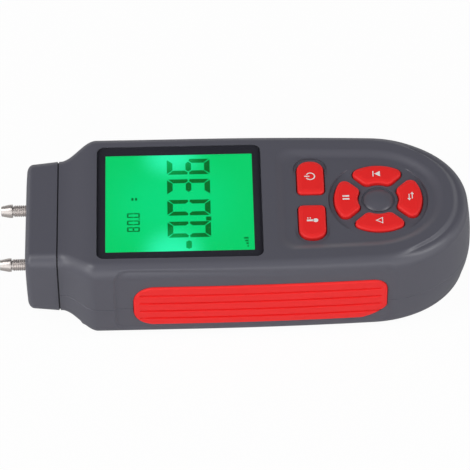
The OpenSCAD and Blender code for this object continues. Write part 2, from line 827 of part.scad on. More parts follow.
pad_middle_r = (pad_r + pad_inner_r) / 2;
pad_turns = [0, quarter_turn, half_turn, half_turn + quarter_turn];
function pad_place(turn) = [pad_x + pad_middle_r * cos(turn), pad_middle_r * sin(turn)];
function pair_place(side) = [pair_x, side * (pair_y + pair_l / 2)];
key_places = concat(
    [for (turn = pad_turns) pad_place(turn)],
    [for (side = [-1, 1]) pair_place(side)]
);

// Block that follows the side between two heights, on the +Y side
module side_band(x0, x1, z0, z1, inward, outward) {
    steps = side_steps * 2;
    xs = [for (i = [0 : steps]) x0 + (x1 - x0) * i / steps];
    translate([0, 0, z0])
        linear_extrude(z1 - z0)
            polygon(concat(
                [for (x = xs) [x, edge_y(x) - inward]],
                [for (i = [steps : -1 : 0]) [xs[i], edge_y(xs[i]) + outward]]
            ));
}

// Side view of a grip, drawn with x to the right and z up
module grip_profile(margin) {
    x0 = grip_x0 - margin;
    x1 = grip_x1 + margin;
    z0 = grip_z0 - margin;
    z1 = grip_z1 + margin;
    r = grip_r + margin;
    polygon(concat(
        arc_points([x0 + r, z0 + r], r, half_turn, half_turn + quarter_turn),
        [[x1 - grip_slant_l, z0], [x1, z0 + grip_slant_h]],
        arc_points([x1 - grip_tail_r, z1 - grip_tail_r], grip_tail_r, 0, quarter_turn),
        arc_points([x0 + r, z1 - r], r, quarter_turn, half_turn)
    ));
}

module grip_block(margin, inward, outward) {
    intersection() {
        side_band(
            grip_x0 - margin - cut, grip_x1 + margin + cut,
            grip_z0 - margin - cut, grip_z1 + margin + cut, inward, outward
        );
        rotate([quarter_turn, 0, 0])
            mirror([0, 0, 1])
                linear_extrude(total_w)
                    grip_profile(margin);
    }
}

module grip_pegs(r, reach_in) {
    for (x = peg_xs)
        for (z = [peg_high_z, peg_low_z])
            translate([x, edge_y(x) - reach_in, z])
                rotate([-quarter_turn, 0, 0])
                    cylinder(r = r, h = reach_in - grip_sink - scoop_d + bite);
}

// What both shells lose at one side: the scoop, the grip's pocket and the peg holes
module side_cuts() {
    for (side = [0, 1])
        mirror([0, side, 0]) {
            intersection() {
                side_band(
                    grip_x0 - scoop_head, grip_x1 + scoop_tail,
                    grip_z0 - scoop_low, grip_z1 + scoop_top, scoop_d, cut
                );
                rotate([quarter_turn, 0, 0])
                    mirror([0, 0, 1])
                        linear_extrude(total_w)
                            polygon(round_rect(
                                grip_x0 - scoop_head, grip_x1 + scoop_tail,
                                grip_z0 - scoop_low, grip_z1 + scoop_top, grip_tail_r, grip_tail_r
                            ));
            }
            grip_block(grip_gap, grip_sink + scoop_d, cut);
            grip_pegs(peg_r + grip_gap, wall + cut * 2);
        }
}

module centred_box(size, z) {
    translate([-size[0] / 2, -size[1] / 2, z])
        cube(size);
}

// Flat plate with rounded corners, centred on the display
module display_plate(l, w, r, z, h) {
    translate([window_x, 0, z])
        linear_extrude(h)
            polygon(round_rect(-l / 2, l / 2, -w / 2, w / 2, r, r));
}

// Hollow for the keypad, with sloping sides
module keypad_recess() {
    module slab(x, inset, tail, r, z, h) {
        translate([0, 0, z])
            linear_extrude(h) {
                polygon([
                    for (side = [1, -1])
                        for (s = stations)
                            if (s[0] > x + r)
                                let (d = inset + tail * s[5])
                                [s[0] - s[2] * d, side * (s[1] - s[3] * d)]
                ]);
                for (side = [1, -1])
                    translate([x + r, side * (edge_y(x + r) - inset - r)])
                        circle(r);
            }
    }
    hull() {
        slab(recess_x, recess_inset, recess_tail_inset, recess_r, total_h, cut);
        slab(
            recess_x + recess_slope, recess_inset + recess_slope, recess_tail_inset,
            recess_r, recess_z, slice
        );
    }
}

module key_outlines(grow) {
    for (turn = pad_turns)
        pad_outline(turn, grow);
    for (side = [-1, 1])
        pair_outline(side, grow);
}

// Keypad hollow, dishes and key openings
module keypad_cuts() {
    keypad_recess();
    translate([0, 0, dish_z]) {
        translate([pad_x, 0, 0])
            cylinder(r = pad_dish_r, h = dish_depth + slice);
        for (side = [-1, 1])
            linear_extrude(dish_depth + slice)
                pair_outline(side, dish_margin);
    }
    translate([0, 0, ceiling_z - cut])
        linear_extrude(total_h)
            key_outlines(key_gap);
    translate([pad_x, 0, dish_z - dish_depth])
        cylinder(r = hub_groove_r, h = dish_depth + slice);
}

// Rounded hub in the middle of the round key group
module key_hub() {
    ball_r = (hub_r * hub_r + hub_rise * hub_rise) / (2 * hub_rise);
    hub_z = dish_z - dish_depth - bite;
    intersection() {
        translate([pad_x, 0, hub_z])
            cylinder(r = hub_r, h = total_h - hub_z);
        translate([pad_x, 0, dish_z + hub_rise - ball_r])
            sphere(ball_r, $fn = 96);
    }
}

module at_places(places, z) {
    for (place = places)
        translate([place[0], place[1], z])
            children();
}

module front_shell() {
    color("#56565f")
        difference() {
            union() {
                difference() {
                    loft([for (s = stations) ring(s, front_levels(s))], true);
                    loft([for (s = open_stations) ring(s, front_hollow_levels(s))], true);
                    display_plate(
                        window_l + key_gap, window_w + key_gap, window_r, mask_z, total_h
                    );
                    display_plate(
                        glass_l + key_gap * 2, glass_w + key_gap * 2, bite, seam_z, total_h - seam_z - window_t
                    );
                    keypad_cuts();
                }
                key_hub();
                at_places(case_screw_places, seam_z)
                    cylinder(r = case_r + case_boss_wall, h = ceiling_z - seam_z + bite);
                at_places(board_screw_places, board_z)
                    cylinder(r = post_r, h = ceiling_z - board_z + bite);
            }
            side_cuts();
            at_places(case_screw_places, seam_z - cut)
                cylinder(r = case_r, h = case_reach + cut * 2);
            at_places(board_screw_places, board_z - cut)
                cylinder(r = small_r, h = small_reach + cut);
        }
}

// Walls and ceiling of the battery bay
module bay_box() {
    translate([bay_x0 - bay_wall, -bay_y - bay_wall, floor_t - bite])
        cube([
            bay_x1 - bay_x0 + bay_wall * 2, (bay_y + bay_wall) * 2,
            bay_z + bay_wall - floor_t + bite
        ]);
}

module back_shell() {
    lip_root = lip_h * lip_root_share;
    color("#56565f")
        difference() {
            union() {
                difference() {
                    loft([for (s = stations) ring(s, back_levels(s))], false);
                    loft([for (s = open_stations) ring(s, back_hollow_levels(s))], false);
                }
                translate([0, 0, seam_z - lip_root])
                    linear_extrude(lip_root)
                        difference() {
                            polygon(outline(wall - bite, body_x));
                            polygon(outline(wall + lip_t, body_x - cut));
                        }
                translate([0, 0, seam_z - slice])
                    linear_extrude(lip_h + slice)
                        difference() {
                            polygon(outline(wall + spigot_gap, body_x));
                            polygon(outline(wall + lip_t, body_x - cut));
                        }
                bay_box();
                at_places(case_screw_places, floor_t - bite)
                    cylinder(r = case_head_r + case_boss_wall / 2, h = seam_z - floor_t + bite);
                for (side = [-1, 1])
                    translate([
                        bay_x1, side * knuckle_y - knuckle_w / 2 - bay_wall, floor_t - bite
                    ])
                        cube([
                            hinge_reach + knuckle_r * 2, knuckle_w + bay_wall * 2,
                            hinge_block_h - floor_t + bite
                        ]);
            }
            side_cuts();
            bay_cuts();
            at_places(case_screw_places, -cut) {
                cylinder(r = case_head_r + screw_gap, h = case_seat_z + cut);
                cylinder(r = case_r + screw_gap, h = seam_z + cut * 2);
            }
            at_places(cap_screw_places, neck_rise - cut) {
                cylinder(r = small_head_r + screw_gap, h = cap_screw_sink + cut);
                cylinder(r = small_r + screw_gap, h = floor_t + cut * 2);
            }
        }
}

// Openings of the battery bay, its door, hinge seats and tab slots
module bay_cuts() {
    translate([bay_x0, -bay_y, -cut])
        cube([bay_x1 - bay_x0, bay_y * 2, bay_z + cut]);
    translate([door_x0 - door_gap, -door_y - door_gap, -cut])
        cube([
            door_x1 - door_x0 + door_gap * 2, (door_y + door_gap) * 2,
            door_t + door_sink + cut
        ]);
    translate([door_x1, -door_y - door_gap, -cut])
        cube([
            hinge_x - knuckle_r * relief_share - door_x1, (door_y + door_gap) * 2,
            hinge_relief_h + cut
        ]);
    translate([door_x0, 0, notch_d - notch_r])
        rotate([quarter_turn, 0, 0])
            cylinder(r = notch_r, h = notch_w, center = true);
    for (side = [-1, 1])
        translate([hinge_x, side * knuckle_y, hinge_z]) {
            seat_w = knuckle_w + door_gap * 2;
            seat_r = knuckle_r + knuckle_gap;
            rotate([quarter_turn, 0, 0])
                cylinder(r = seat_r, h = seat_w, center = true);
            translate([-seat_r, -seat_w / 2, -hinge_z - cut])
                cube([seat_r * 2, seat_w, hinge_z + cut]);
            translate([-hinge_reach, -seat_w / 2, -hinge_z - cut])
                cube([hinge_reach, seat_w, hinge_z + cut + seat_r]);
        }
    for (end = tab_ends)
        translate([end[0], end[1] - tab_w / 2 - bite / 2, end[2] - bite / 2])
            cube([bay_wall * 4, tab_w + bite, plate_t + bite]);
}

// Terminal tabs: start of the slot, row and height
tab_z = cell_z + plate_w / 2 - plate_t * 2;
tab_ends = [
    [bay_x0 - bay_wall * 2, -cell_pitch, tab_z],
    [bay_x1 - bay_wall * 2, cell_pitch, tab_z]
];

// Cross-section of the neck, scaled about its middle
neck_section = let (
    s = side_station(neck_x),
    top = [for (l = front_levels(s)) [s[1] - l[0], l[1]]],
    low = [for (l = back_levels(s)) [s[1] - l[0], l[1]]],
    right = concat([for (i = [len(top) - 1 : -1 : 0]) top[i]], [for (i = [1 : len(low) - 1]) low[i]])
)
concat(right, [for (i = [len(right) - 1 : -1 : 0]) [-right[i][0], right[i][1]]]);

function cap_ring(x, inset) = [
    for (p = neck_section)
        [
            x,
            p[0] * (1 - inset / (neck_w / 2)),
            neck_mid_z + (p[1] - neck_mid_z) * (1 - inset / neck_half_h)
        ]
];

cap_rim_x = cap_front_x + cap_crown;
cap_rings = concat(
    [cap_ring(cap_seam_x, 0)],
    [
        for (i = [0 : round_steps])
            let (a = quarter_turn * i / round_steps)
            cap_ring(
                cap_rim_x + cap_round * (1 - sin(a)),
                cap_taper + cap_round * (1 - cos(a))
            )
    ],
    [cap_ring(cap_front_x, cap_taper + cap_round + cap_crown_run)]
);
cap_inner_x = cap_front_x + cap_wall;
cap_screw_places = [
    for (side = [-1, 1]) [neck_x + cap_screw_back, side * cap_screw_y]
];

// Block along X with a rounded section that is drawn with y and z
module x_block(x0, x1, half_w, z0, z1, r) {
    translate([x0, 0, 0])
        rotate([quarter_turn, 0, quarter_turn])
            linear_extrude(x1 - x0)
                polygon(round_rect(-half_w, half_w, z0, z1, r, r));
}

module x_tube(x0, x1, r) {
    translate([x0, 0, 0])
        rotate([0, quarter_turn, 0])
            cylinder(r = r, h = x1 - x0);
}

module at_ports() {
    for (side = [-1, 1])
        translate([0, side * barb_y, barb_z])
            children();
}

spigot_half_w = neck_w / 2 - wall - top_lean - spigot_gap;
spigot_z0 = neck_rise + floor_t + spigot_gap;
spigot_z1 = neck_top_z - wall - spigot_gap;
spigot_x = neck_x + spigot_l;
port_boss_x = cap_inner_x + port_boss_l;

module head_cap() {
    color("#56565f")
        difference() {
            union() {
                difference() {
                    union() {
                        ring_loft(cap_rings);
                        x_block(
                            cap_seam_x - bite, spigot_x,
                            spigot_half_w, spigot_z0, spigot_z1, inner_round
                        );
                    }
                    x_block(
                        cap_inner_x, spigot_x + cut,
                        spigot_half_w - spigot_t, spigot_z0 + spigot_t, spigot_z1 - spigot_t,
                        inner_round - spigot_t / 2
                    );
                }
                at_ports()
                    x_tube(cap_inner_x - bite, port_boss_x, port_boss_r);
                for (place = cap_screw_places)
                    translate([place[0], place[1], 0])
                        centred_box(
                            [cap_block_w, cap_block_w, spigot_t + small_reach], spigot_z0
                        );
            }
            at_ports()
                x_tube(cap_front_x - cut, port_boss_x + cut, thread_r);
            at_places(cap_screw_places, spigot_z0 - cut)
                cylinder(r = small_r, h = small_reach + cut);
        }
}

module head_gasket() {
    color("#17171a")
        translate([cap_seam_x, 0, 0])
            rotate([quarter_turn, 0, quarter_turn])
                linear_extrude(gasket_t)
                    difference() {
                        offset(delta = -gasket_sink)
                            polygon(neck_section);
                        polygon(round_rect(
                            -spigot_half_w - spigot_gap, spigot_half_w + spigot_gap,
                            spigot_z0 - spigot_gap, spigot_z1 + spigot_gap,
                            inner_round, inner_round
                        ));
                    }
}

// Grip on the +Y side: a band with lengthwise ribs, and pegs behind it
module grip() {
    pitch = (grip_z1 - grip_z0) / rib_count;
    color("#e8322f") {
        difference() {
            grip_block(0, grip_sink + scoop_d, grip_proud - scoop_d);
            for (i = [1 : rib_count - 1])
                side_band(
                    grip_x0 + rib_margin, grip_x1 - rib_margin,
                    grip_z0 + pitch * i - groove_w / 2, grip_z0 + pitch * i + groove_w / 2,
                    groove_d + scoop_d - grip_proud, cut
                );
        }
        grip_pegs(peg_r, wall + peg_past);
    }
}

module left_grip() {
    grip();
}

module right_grip() {
    mirror([0, 1, 0])
        grip();
}

module display_window() {
    color("#2c2c38")
        display_plate(window_l, window_w, window_r, total_h - window_t, window_t);
}

module window_mask() {
    color("#101014")
        difference() {
            display_plate(window_l, window_w, window_r, mask_z, mask_t);
            display_plate(view_l, view_w, bite, mask_z - cut, mask_t + cut * 2);
        }
}

module display_glass() {
    color("#00d060")
        display_plate(glass_l, glass_w, bite, glass_z, glass_t);
}

frame_l = glass_l + (frame_wall + bite / 2) * 2;
frame_w = glass_w + (frame_wall + bite / 2) * 2;
guide_l = view_l + bite;
guide_w = view_w + bite;
guide_x = window_x - (glass_l - guide_l) / 2 + frame_wall;
lamp_y = guide_w / 2 + bite / 2;
strip_x = window_x + glass_l / 2 - strip_w - bite;

module display_frame() {
    color("#f2f2ee")
        difference() {
            display_plate(frame_l, frame_w, frame_wall, board_z, ceiling_z - board_z);
            display_plate(glass_l + bite, glass_w + bite, bite, glass_z, roof);
            translate([guide_x, 0, 0])
                centred_box([guide_l + bite, guide_w + bite, roof], guide_z);
            translate([lamp_x, 0, 0])
                centred_box([lamp_l + bite, (lamp_y + lamp_w) * 2 + bite, roof], guide_z);
            translate([strip_x - bite / 2, -strip_l / 2 - bite / 2, board_z - cut])
                cube([strip_w + bite, strip_l + bite, roof + cut * 2]);
        }
}

module light_guide() {
    color("#c8ffd8")
        translate([guide_x, 0, 0])
            centred_box([guide_l, guide_w, guide_t], guide_z);
}

module backlight_lamps() {
    color("#e8ffe8")
        for (side = [-1, 1])
            translate([lamp_x, side * (lamp_y + lamp_w / 2), 0])
                centred_box([lamp_l, lamp_w, guide_t / 2], guide_z);
}

module connector_strip() {
    color("#d86ea0")
        translate([strip_x, -strip_l / 2, board_z])
            cube([strip_w, strip_l, glass_z - board_z]);
}

// Room for the case screws' bosses in the board and the mat
module boss_clearances() {
    for (place = case_screw_places)
        translate(place)
            circle(case_r + case_boss_wall + screw_gap);
}

module main_board() {
    color("#1d6b3a")
        translate([0, 0, board_low_z])
            linear_extrude(board_t)
                difference() {
                    polygon(outline(board_inset, board_x));
                    boss_clearances();
                    for (place = board_screw_places)
                        translate(place)
                            circle(small_r + screw_gap);
                }
}

module microcontroller() {
    color("#1a1a1c")
        translate([chip_x, 0, 0])
            centred_box([chip_w, chip_w, chip_t], board_low_z - chip_t);
}

module signal_amplifier() {
    color("#1a1a1c")
        translate(amp_place)
            centred_box([amp_l, amp_w, chip_t], board_low_z - chip_t);
}

module capacitors() {
    color("#30343c")
        at_places(cap_places, board_low_z - cap_h)
            cylinder(r = cap_r, h = cap_h);
}

module pressure_sensor() {
    color("#24262a")
        difference() {
            union() {
                translate([sensor_x + sensor_l / 2, 0, 0])
                    centred_box([sensor_l, sensor_w, sensor_h], sensor_z);
                for (side = [-1, 1])
                    translate([0, side * port_y, port_z])
                        x_tube(sensor_x - port_l, sensor_x + bite, nipple_r);
            }
            for (side = [-1, 1])
                translate([0, side * port_y, port_z])
                    x_tube(sensor_x - port_l - cut, sensor_x + bite, barb_bore_r);
        }
}

nut_x = port_boss_x + washer_t;
thread_end_x = nut_x + port_nut_t + thread_tail;
nipple_end_x = thread_end_x + nipple_l;

// Tube from a barb's nipple to the sensor's port on the same side
module sensor_tube(side) {
    start = [thread_end_x + tube_end_gap, side * barb_y, barb_z];
    end = [sensor_x - tube_end_gap, side * port_y, port_z];
    bend_x0 = nipple_end_x;
    bend_x1 = sensor_x - port_l;
    path = concat(
        [start],
        [
            for (i = [0 : sweep_steps])
                let (t = i / sweep_steps)
                [
                    bend_x0 + (bend_x1 - bend_x0) * t,
                    start[1] + (end[1] - start[1]) * ease(t),
                    start[2] + (end[2] - start[2]) * ease(t)
                ]
        ],
        [end]
    );
    color("#d8d4c8")
        hose_loft(
            tube_rings(path, tube_r, tube_sides),
            tube_rings(path, tube_bore_r, tube_sides)
        );
}

module high_port_tube() {
    sensor_tube(1);
}

module low_port_tube() {
    sensor_tube(-1);
}

// Hose barb with a thread, an inner nipple and a bore, turned about X
module port_barb(side) {
    crest_x = barb_tip_x + barb_head_l;
    land_x = crest_x - barb_land;
    thread_x = cap_front_x - thread_show;
    color("#c9c6c2")
        translate([barb_tip_x, side * barb_y, barb_z])
            rotate([0, quarter_turn, 0])
                rotate_extrude()
                    polygon([
                        [barb_bore_r, 0],
                        [barb_tip_r, 0],
                        [barb_crest_r, land_x - barb_tip_x],
                        [barb_crest_r, crest_x - barb_tip_x],
                        [barb_neck_r, crest_x - barb_tip_x],
                        [barb_neck_r, thread_x - barb_tip_x],
                        [thread_r, thread_x - barb_tip_x],
                        [thread_r, thread_end_x - barb_tip_x],
                        [nipple_r, thread_end_x - barb_tip_x],
                        [nipple_r, nipple_end_x - barb_tip_x],
                        [barb_bore_r, nipple_end_x - barb_tip_x]
                    ]);
}

module high_port_barb() {
    port_barb(1);
}

module low_port_barb() {
    port_barb(-1);
}

module port_washers() {
    color("#b5482e")
        at_ports()
            difference() {
                x_tube(port_boss_x, nut_x, port_boss_r);
                x_tube(port_boss_x - cut, nut_x + cut, thread_r);
            }
}

module port_nuts() {
    color("#b9b6ae")
        at_ports()
            difference() {
                translate([nut_x, 0, 0])
                    rotate([0, quarter_turn, 0])
                        cylinder(d = port_nut_w / cos(half_turn / 6), h = port_nut_t, $fn = 6);
                x_tube(nut_x - cut, nut_x + port_nut_t + cut, thread_r);
            }
}

// Key with its flange and plunger; its outline is a child with one growth
module key_body(place) {
    translate([place[0], place[1], plunger_z])
        cylinder(r = plunger_r, h = key_z - plunger_z + bite);
}

module pad_key(turn) {
    color("#eb2d2d") {
        translate([0, 0, key_z])
            linear_extrude(total_h - key_z)
                pad_outline(turn, 0);
        translate([0, 0, key_z])
            linear_extrude(flange_t)
                pad_outline(turn, flange_w);
        key_body(pad_place(turn));
    }
}

module pair_key(side) {
    color("#eb2d2d") {
        translate([0, 0, key_z])
            linear_extrude(total_h - key_z)
                pair_outline(side, 0);
        translate([0, 0, key_z])
            linear_extrude(flange_t)
                pair_outline(side, flange_w);
        key_body(pair_place(side));
    }
}

module power_key() {
    pair_key(1);
}

module temperature_key() {
    pair_key(-1);
}

module hold_key() {
    pad_key(half_turn);
}

module max_key() {
    pad_key(quarter_turn);
}

module units_key() {
    pad_key(0);
}

module difference_key() {
    pad_key(half_turn + quarter_turn);
}

module keypad_mat() {
    x0 = pair_x - pair_w / 2 - flange_w;
    x1 = pad_x + pad_r + flange_w;
    half_w = pad_r + flange_w;
    color("#b52424") {
        translate([0, 0, mat_z])
            linear_extrude(mat_t)
                difference() {
                    polygon(round_rect(x0, x1, -half_w, half_w, pair_outer_r, pair_outer_r));
                    boss_clearances();
                }
        at_places(key_places, mat_z)
            difference() {
                cylinder(r = collar_r + collar_wall, h = collar_z - mat_z);
                translate([0, 0, mat_t])
                    cylinder(r = collar_r, h = roof);
            }
    }
}

module battery_door() {
    plate_z = door_sink;
    color("#56565f") {
        translate([door_x0, -door_y, plate_z])
            cube([door_x1 - door_x0, door_y * 2, door_t]);
        for (share = door_rib_shares)
            translate([
                bay_x0 + bay_l * share - door_rib_w / 2, -bay_y + door_gap, plate_z + door_t - bite
            ])
                cube([door_rib_w, (bay_y - door_gap) * 2, door_rib_h + bite]);
        for (side = [-1, 1])
            translate([
                bay_x0 + latch_gap, side * cell_pitch / 2 - latch_w / 2, plate_z + door_t - bite
            ])
                cube([latch_t, latch_w, latch_h + bite]);
        for (side = [-1, 1])
            translate([hinge_x, side * knuckle_y, hinge_z])
                rotate([quarter_turn, 0, 0])
                    cylinder(r = knuckle_r, h = knuckle_w, center = true);
        for (side = [-1, 1])
            translate([
                door_x1 - bite, side * knuckle_y - knuckle_w / 2, hinge_z - knuckle_r / 2
            ])
                cube([hinge_x - door_x1 + bite, knuckle_w, knuckle_r]);
    }
}

// Cells lie side by side, and every other one points the other way
module at_cells() {
    for (row = cell_rows)
        translate([(bay_x0 + bay_x1) / 2, row * cell_pitch, cell_z])
            rotate([0, 0, row == 0 ? half_turn : 0])
                children();
}

bay_half = (bay_x1 - bay_x0) / 2;
cell_end = bay_half - plate_t - nub_l;

module batteries() {
    color("#3c6fb0")
        at_cells() {
            x_tube(cell_end - cell_l, cell_end, cell_r);
            x_tube(cell_end - bite, cell_end + nub_l, nub_r);
        }
}

module battery_plates() {
    color("#c8c8c4") {
        at_cells()
            for (x = [-bay_half, bay_half - plate_t])
                translate([x, -plate_w / 2, -plate_w / 2])
                    cube([plate_t, plate_w, plate_w]);
        translate([bay_x0 - bay_wall - tab_out, -cell_pitch - tab_w / 2, tab_z])
            cube([bay_wall + tab_out + plate_t, tab_w, plate_t]);
        translate([bay_x1 - plate_t, cell_pitch - tab_w / 2, tab_z])
            cube([bay_wall + tab_out + plate_t, tab_w, plate_t]);
    }
}

// Conical spring wound about X from the plate to the cell
module battery_springs() {
    start = -bay_half + plate_t + wire_r;
    run = cell_end - cell_l - start - wire_r;
    steps = spring_turns * sweep_steps;
    path = [
        for (i = [0 : steps])
            let (t = i / steps, a = full_turn * spring_turns * t)
            let (r = spring_base_r + (spring_tip_r - spring_base_r) * t)
            [r * cos(a), r * sin(a), start + run * t]
    ];
    color("#d2d2ce")
        at_cells()
            rotate([0, quarter_turn, 0])
                ring_loft(coil_rings(path, wire_r, wire_sides));
}

// Rings of a wire wound about Z
function coil_rings(path, r, sides) = [
    for (i = [0 : len(path) - 1])
        let (before = path[max(0, i - 1)], after = path[min(len(path) - 1, i + 1)])
        let (along = unit(after - before), out = unit([path[i][0], path[i][1], 0]))
        let (over = unit(cross(along, out)), across = cross(over, along))
        [
            for (j = [0 : sides - 1])
                let (a = full_turn * j / sides)
                path[i] + across * (r * cos(a)) + over * (r * sin(a))
        ]
];

// Wire from a terminal tab up to the board
module lead(start, reach, tone) {
    end = [start[0] + reach, start[1], board_low_z];
    path = [
        for (i = [0 : sweep_steps])
            let (t = i / sweep_steps)
            [start[0] + reach * ease(t), start[1], start[2] + (end[2] - start[2]) * t]
    ];
    color(tone)
        ring_loft(lead_rings(path, lead_r, wire_sides));
}

// Rings of a wire that climbs in the XZ plane
function lead_rings(path, r, sides) = [
    for (i = [0 : len(path) - 1])
        let (before = path[max(0, i - 1)], after = path[min(len(path) - 1, i + 1)])
        let (along = unit(after - before), across = cross([0, 1, 0], along))
        [
            for (j = [0 : sides - 1])
                let (a = full_turn * j / sides)
                path[i] + across * (r * cos(a)) + [0, r * sin(a), 0]
        ]
];

module red_lead() {
    lead([bay_x1 + bay_wall + tab_out - lead_r, cell_pitch, tab_z + plate_t], lead_r, "#c02020");
}

module black_lead() {
    lead([bay_x0 - bay_wall - tab_out + lead_r, -cell_pitch, tab_z + plate_t], -lead_r * 4, "#202024");
}

// Screw that points up, with its head's seat at z = 0 and a cross recess below
module screw(r, l, head_r, head_h) {
    difference() {
        union() {
            translate([0, 0, -bite])
                cylinder(r = r, h = l + bite);
            translate([0, 0, -head_h])
                cylinder(r = head_r, h = head_h);
        }
        for (turn = [0, quarter_turn])
            rotate([0, 0, turn])
                centred_box([cross_r * 2, cross_w, cross_d + cut], -head_h - cut);
    }
}

module case_screws() {
    color("#9a9a98")
        at_places(case_screw_places, case_seat_z)
            screw(case_r, seam_z + case_reach - case_seat_z, case_head_r, case_head_h);
}

module board_screws() {
    color("#9a9a98")
        at_places(board_screw_places, board_low_z)
            screw(small_r, board_t + small_reach - bite, small_head_r, small_head_h);
}

module cap_screws() {
    seat = neck_rise + cap_screw_sink;
    color("#9a9a98")
        at_places(cap_screw_places, seat)
            screw(small_r, spigot_z0 + small_reach - bite - seat, small_head_r, small_head_h);
}

front_shell();
back_shell();
head_cap();
head_gasket();
left_grip();
right_grip();
display_window();
window_mask();
display_glass();
display_frame();
light_guide();
backlight_lamps();
connector_strip();
main_board();
microcontroller();
signal_amplifier();
capacitors();
pressure_sensor();
high_port_tube();
low_port_tube();
high_port_barb();
low_port_barb();
port_washers();
port_nuts();
power_key();
temperature_key();
hold_key();
max_key();
units_key();
difference_key();
keypad_mat();
battery_door();
batteries();
battery_springs();
battery_plates();
red_lead();
black_lead();
case_screws();
board_screws();
cap_screws();
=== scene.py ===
# %% [markdown]
# # A digital manometer on a white table
#
# The object is a handheld pressure meter. It has a grey moulded case, a backlit display, six red
# rubber keys, red side grips and two metal hose barbs. The solids come from the CAD frame. This
# file dresses them: it builds smoother skins where the solids are coarse, gives every piece the
# finish of its real material, and sets up the camera, the lights and the table.

import json
import math

import bmesh
import bpy
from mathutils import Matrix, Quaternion, Vector

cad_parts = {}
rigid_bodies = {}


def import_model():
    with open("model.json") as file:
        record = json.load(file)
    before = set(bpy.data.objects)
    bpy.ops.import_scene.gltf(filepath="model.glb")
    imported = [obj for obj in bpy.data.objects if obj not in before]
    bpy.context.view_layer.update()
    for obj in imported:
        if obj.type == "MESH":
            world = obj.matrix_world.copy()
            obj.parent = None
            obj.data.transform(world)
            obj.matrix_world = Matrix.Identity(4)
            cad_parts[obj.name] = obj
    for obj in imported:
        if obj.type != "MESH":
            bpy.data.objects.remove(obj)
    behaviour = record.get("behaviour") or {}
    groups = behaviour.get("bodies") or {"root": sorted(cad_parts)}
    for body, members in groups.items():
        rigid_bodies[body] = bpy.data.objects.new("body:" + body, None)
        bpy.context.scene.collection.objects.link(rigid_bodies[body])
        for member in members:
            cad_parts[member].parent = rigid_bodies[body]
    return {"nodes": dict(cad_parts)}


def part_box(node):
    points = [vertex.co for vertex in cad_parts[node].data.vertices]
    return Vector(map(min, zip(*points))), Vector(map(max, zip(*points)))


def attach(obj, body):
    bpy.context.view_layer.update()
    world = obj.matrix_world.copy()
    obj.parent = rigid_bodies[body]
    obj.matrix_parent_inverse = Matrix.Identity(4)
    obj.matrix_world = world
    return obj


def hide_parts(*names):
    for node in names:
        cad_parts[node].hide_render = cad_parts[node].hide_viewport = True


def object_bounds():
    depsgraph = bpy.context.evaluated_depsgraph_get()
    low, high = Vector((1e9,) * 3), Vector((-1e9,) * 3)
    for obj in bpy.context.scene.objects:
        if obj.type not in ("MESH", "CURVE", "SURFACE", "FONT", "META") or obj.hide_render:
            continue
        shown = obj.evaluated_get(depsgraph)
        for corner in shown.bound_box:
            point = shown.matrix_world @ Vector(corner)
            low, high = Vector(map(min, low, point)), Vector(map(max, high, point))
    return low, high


for leftover in list(bpy.data.objects):
    bpy.data.objects.remove(leftover)
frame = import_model()
cad_low, cad_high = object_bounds()
MM = 0.001
print("CAD box in mm:", [round(v / MM, 1) for v in (*cad_low, *cad_high)])

# %% [markdown]
# ## The camera
#
# A product photograph of a small object is taken from far away with a long lens, so that
# parallel edges stay almost parallel. The camera could be placed by eye. Here its direction and
# distance are numbers that were fitted to the photograph, because then the picture and the
# render can be laid over each other: the turn around the object, the height above the horizon,
# a slight roll, the distance, and the focal length in pixels. The Standard view transform shows a
# colour about as it was written. The others would lower the contrast, as film does.

# %% Place the camera
AZIMUTH = math.radians(-0.936)
ELEVATION = math.radians(48.625)
ROLL = math.radians(-0.477)
DISTANCE = 1.3336
AIM = Vector((-0.159, -1.195, 19)) * MM
FOCAL_PIXELS = 3459.6
IMAGE_PIXELS = 470
SENSOR_MM = 36

back = Vector((
    math.sin(AZIMUTH) * math.cos(ELEVATION),
    -math.cos(AZIMUTH) * math.cos(ELEVATION),
    math.sin(ELEVATION),
))
camera = bpy.data.objects.new("camera", bpy.data.cameras.new("camera"))
bpy.context.scene.collection.objects.link(camera)
camera.data.sensor_width = SENSOR_MM
camera.data.lens = FOCAL_PIXELS / IMAGE_PIXELS * SENSOR_MM
camera.data.clip_start = 0.1
camera.data.clip_end = 20
camera.location = AIM + back * DISTANCE
camera.rotation_mode = "QUATERNION"
camera.rotation_quaternion = Quaternion(back, ROLL) @ (-back).to_track_quat("-Z", "Y")
bpy.context.scene.camera = camera
bpy.context.scene.view_settings.view_transform = "Standard"
print("lens:", round(camera.data.lens, 1), "mm")

# %% [markdown]
# ## Materials from real ones
#
# A finish could be picked from a colour chart and tuned until it looks right. Here each one
# starts from what the real part is made of, and how, because then its gloss and its grain come
# with it. Three helpers are enough. One turns a hex colour, as a paint or web chart gives it,
# into the linear values that a shader works with. Another adds a node with its settings and its
# links. The third starts an empty material.

# %% Helpers for materials
def linear(colour):
    """Linear RGBA of an sRGB hex colour."""
    channels = [int(colour[i : i + 2], 16) / 255 for i in (1, 3, 5)]
    return (*[c / 12.92 if c <= 0.04045 else ((c + 0.055) / 1.055) ** 2.4 for c in channels], 1)


def add_node(tree, kind, settings=None, links=None):
    """Adds a node; settings are its properties and socket values, links are what feeds it."""
    made = tree.nodes.new(kind)
    for key, value in (settings or {}).items():
        if hasattr(made, str(key)):
            setattr(made, key, value)
        else:
            made.inputs[key].default_value = value
    for key, source in (links or {}).items():
        tree.links.new(source, made.inputs[key])
    return made


def new_material(name):
    """Empty material with its output node; returns the material, its tree and the output."""
    material = bpy.data.materials.new(name)
    material.use_nodes = True
    material.node_tree.nodes.clear()
    return material, material.node_tree, add_node(material.node_tree, "ShaderNodeOutputMaterial")


print("mid grey in linear values:", [round(c, 3) for c in linear("#808080")])

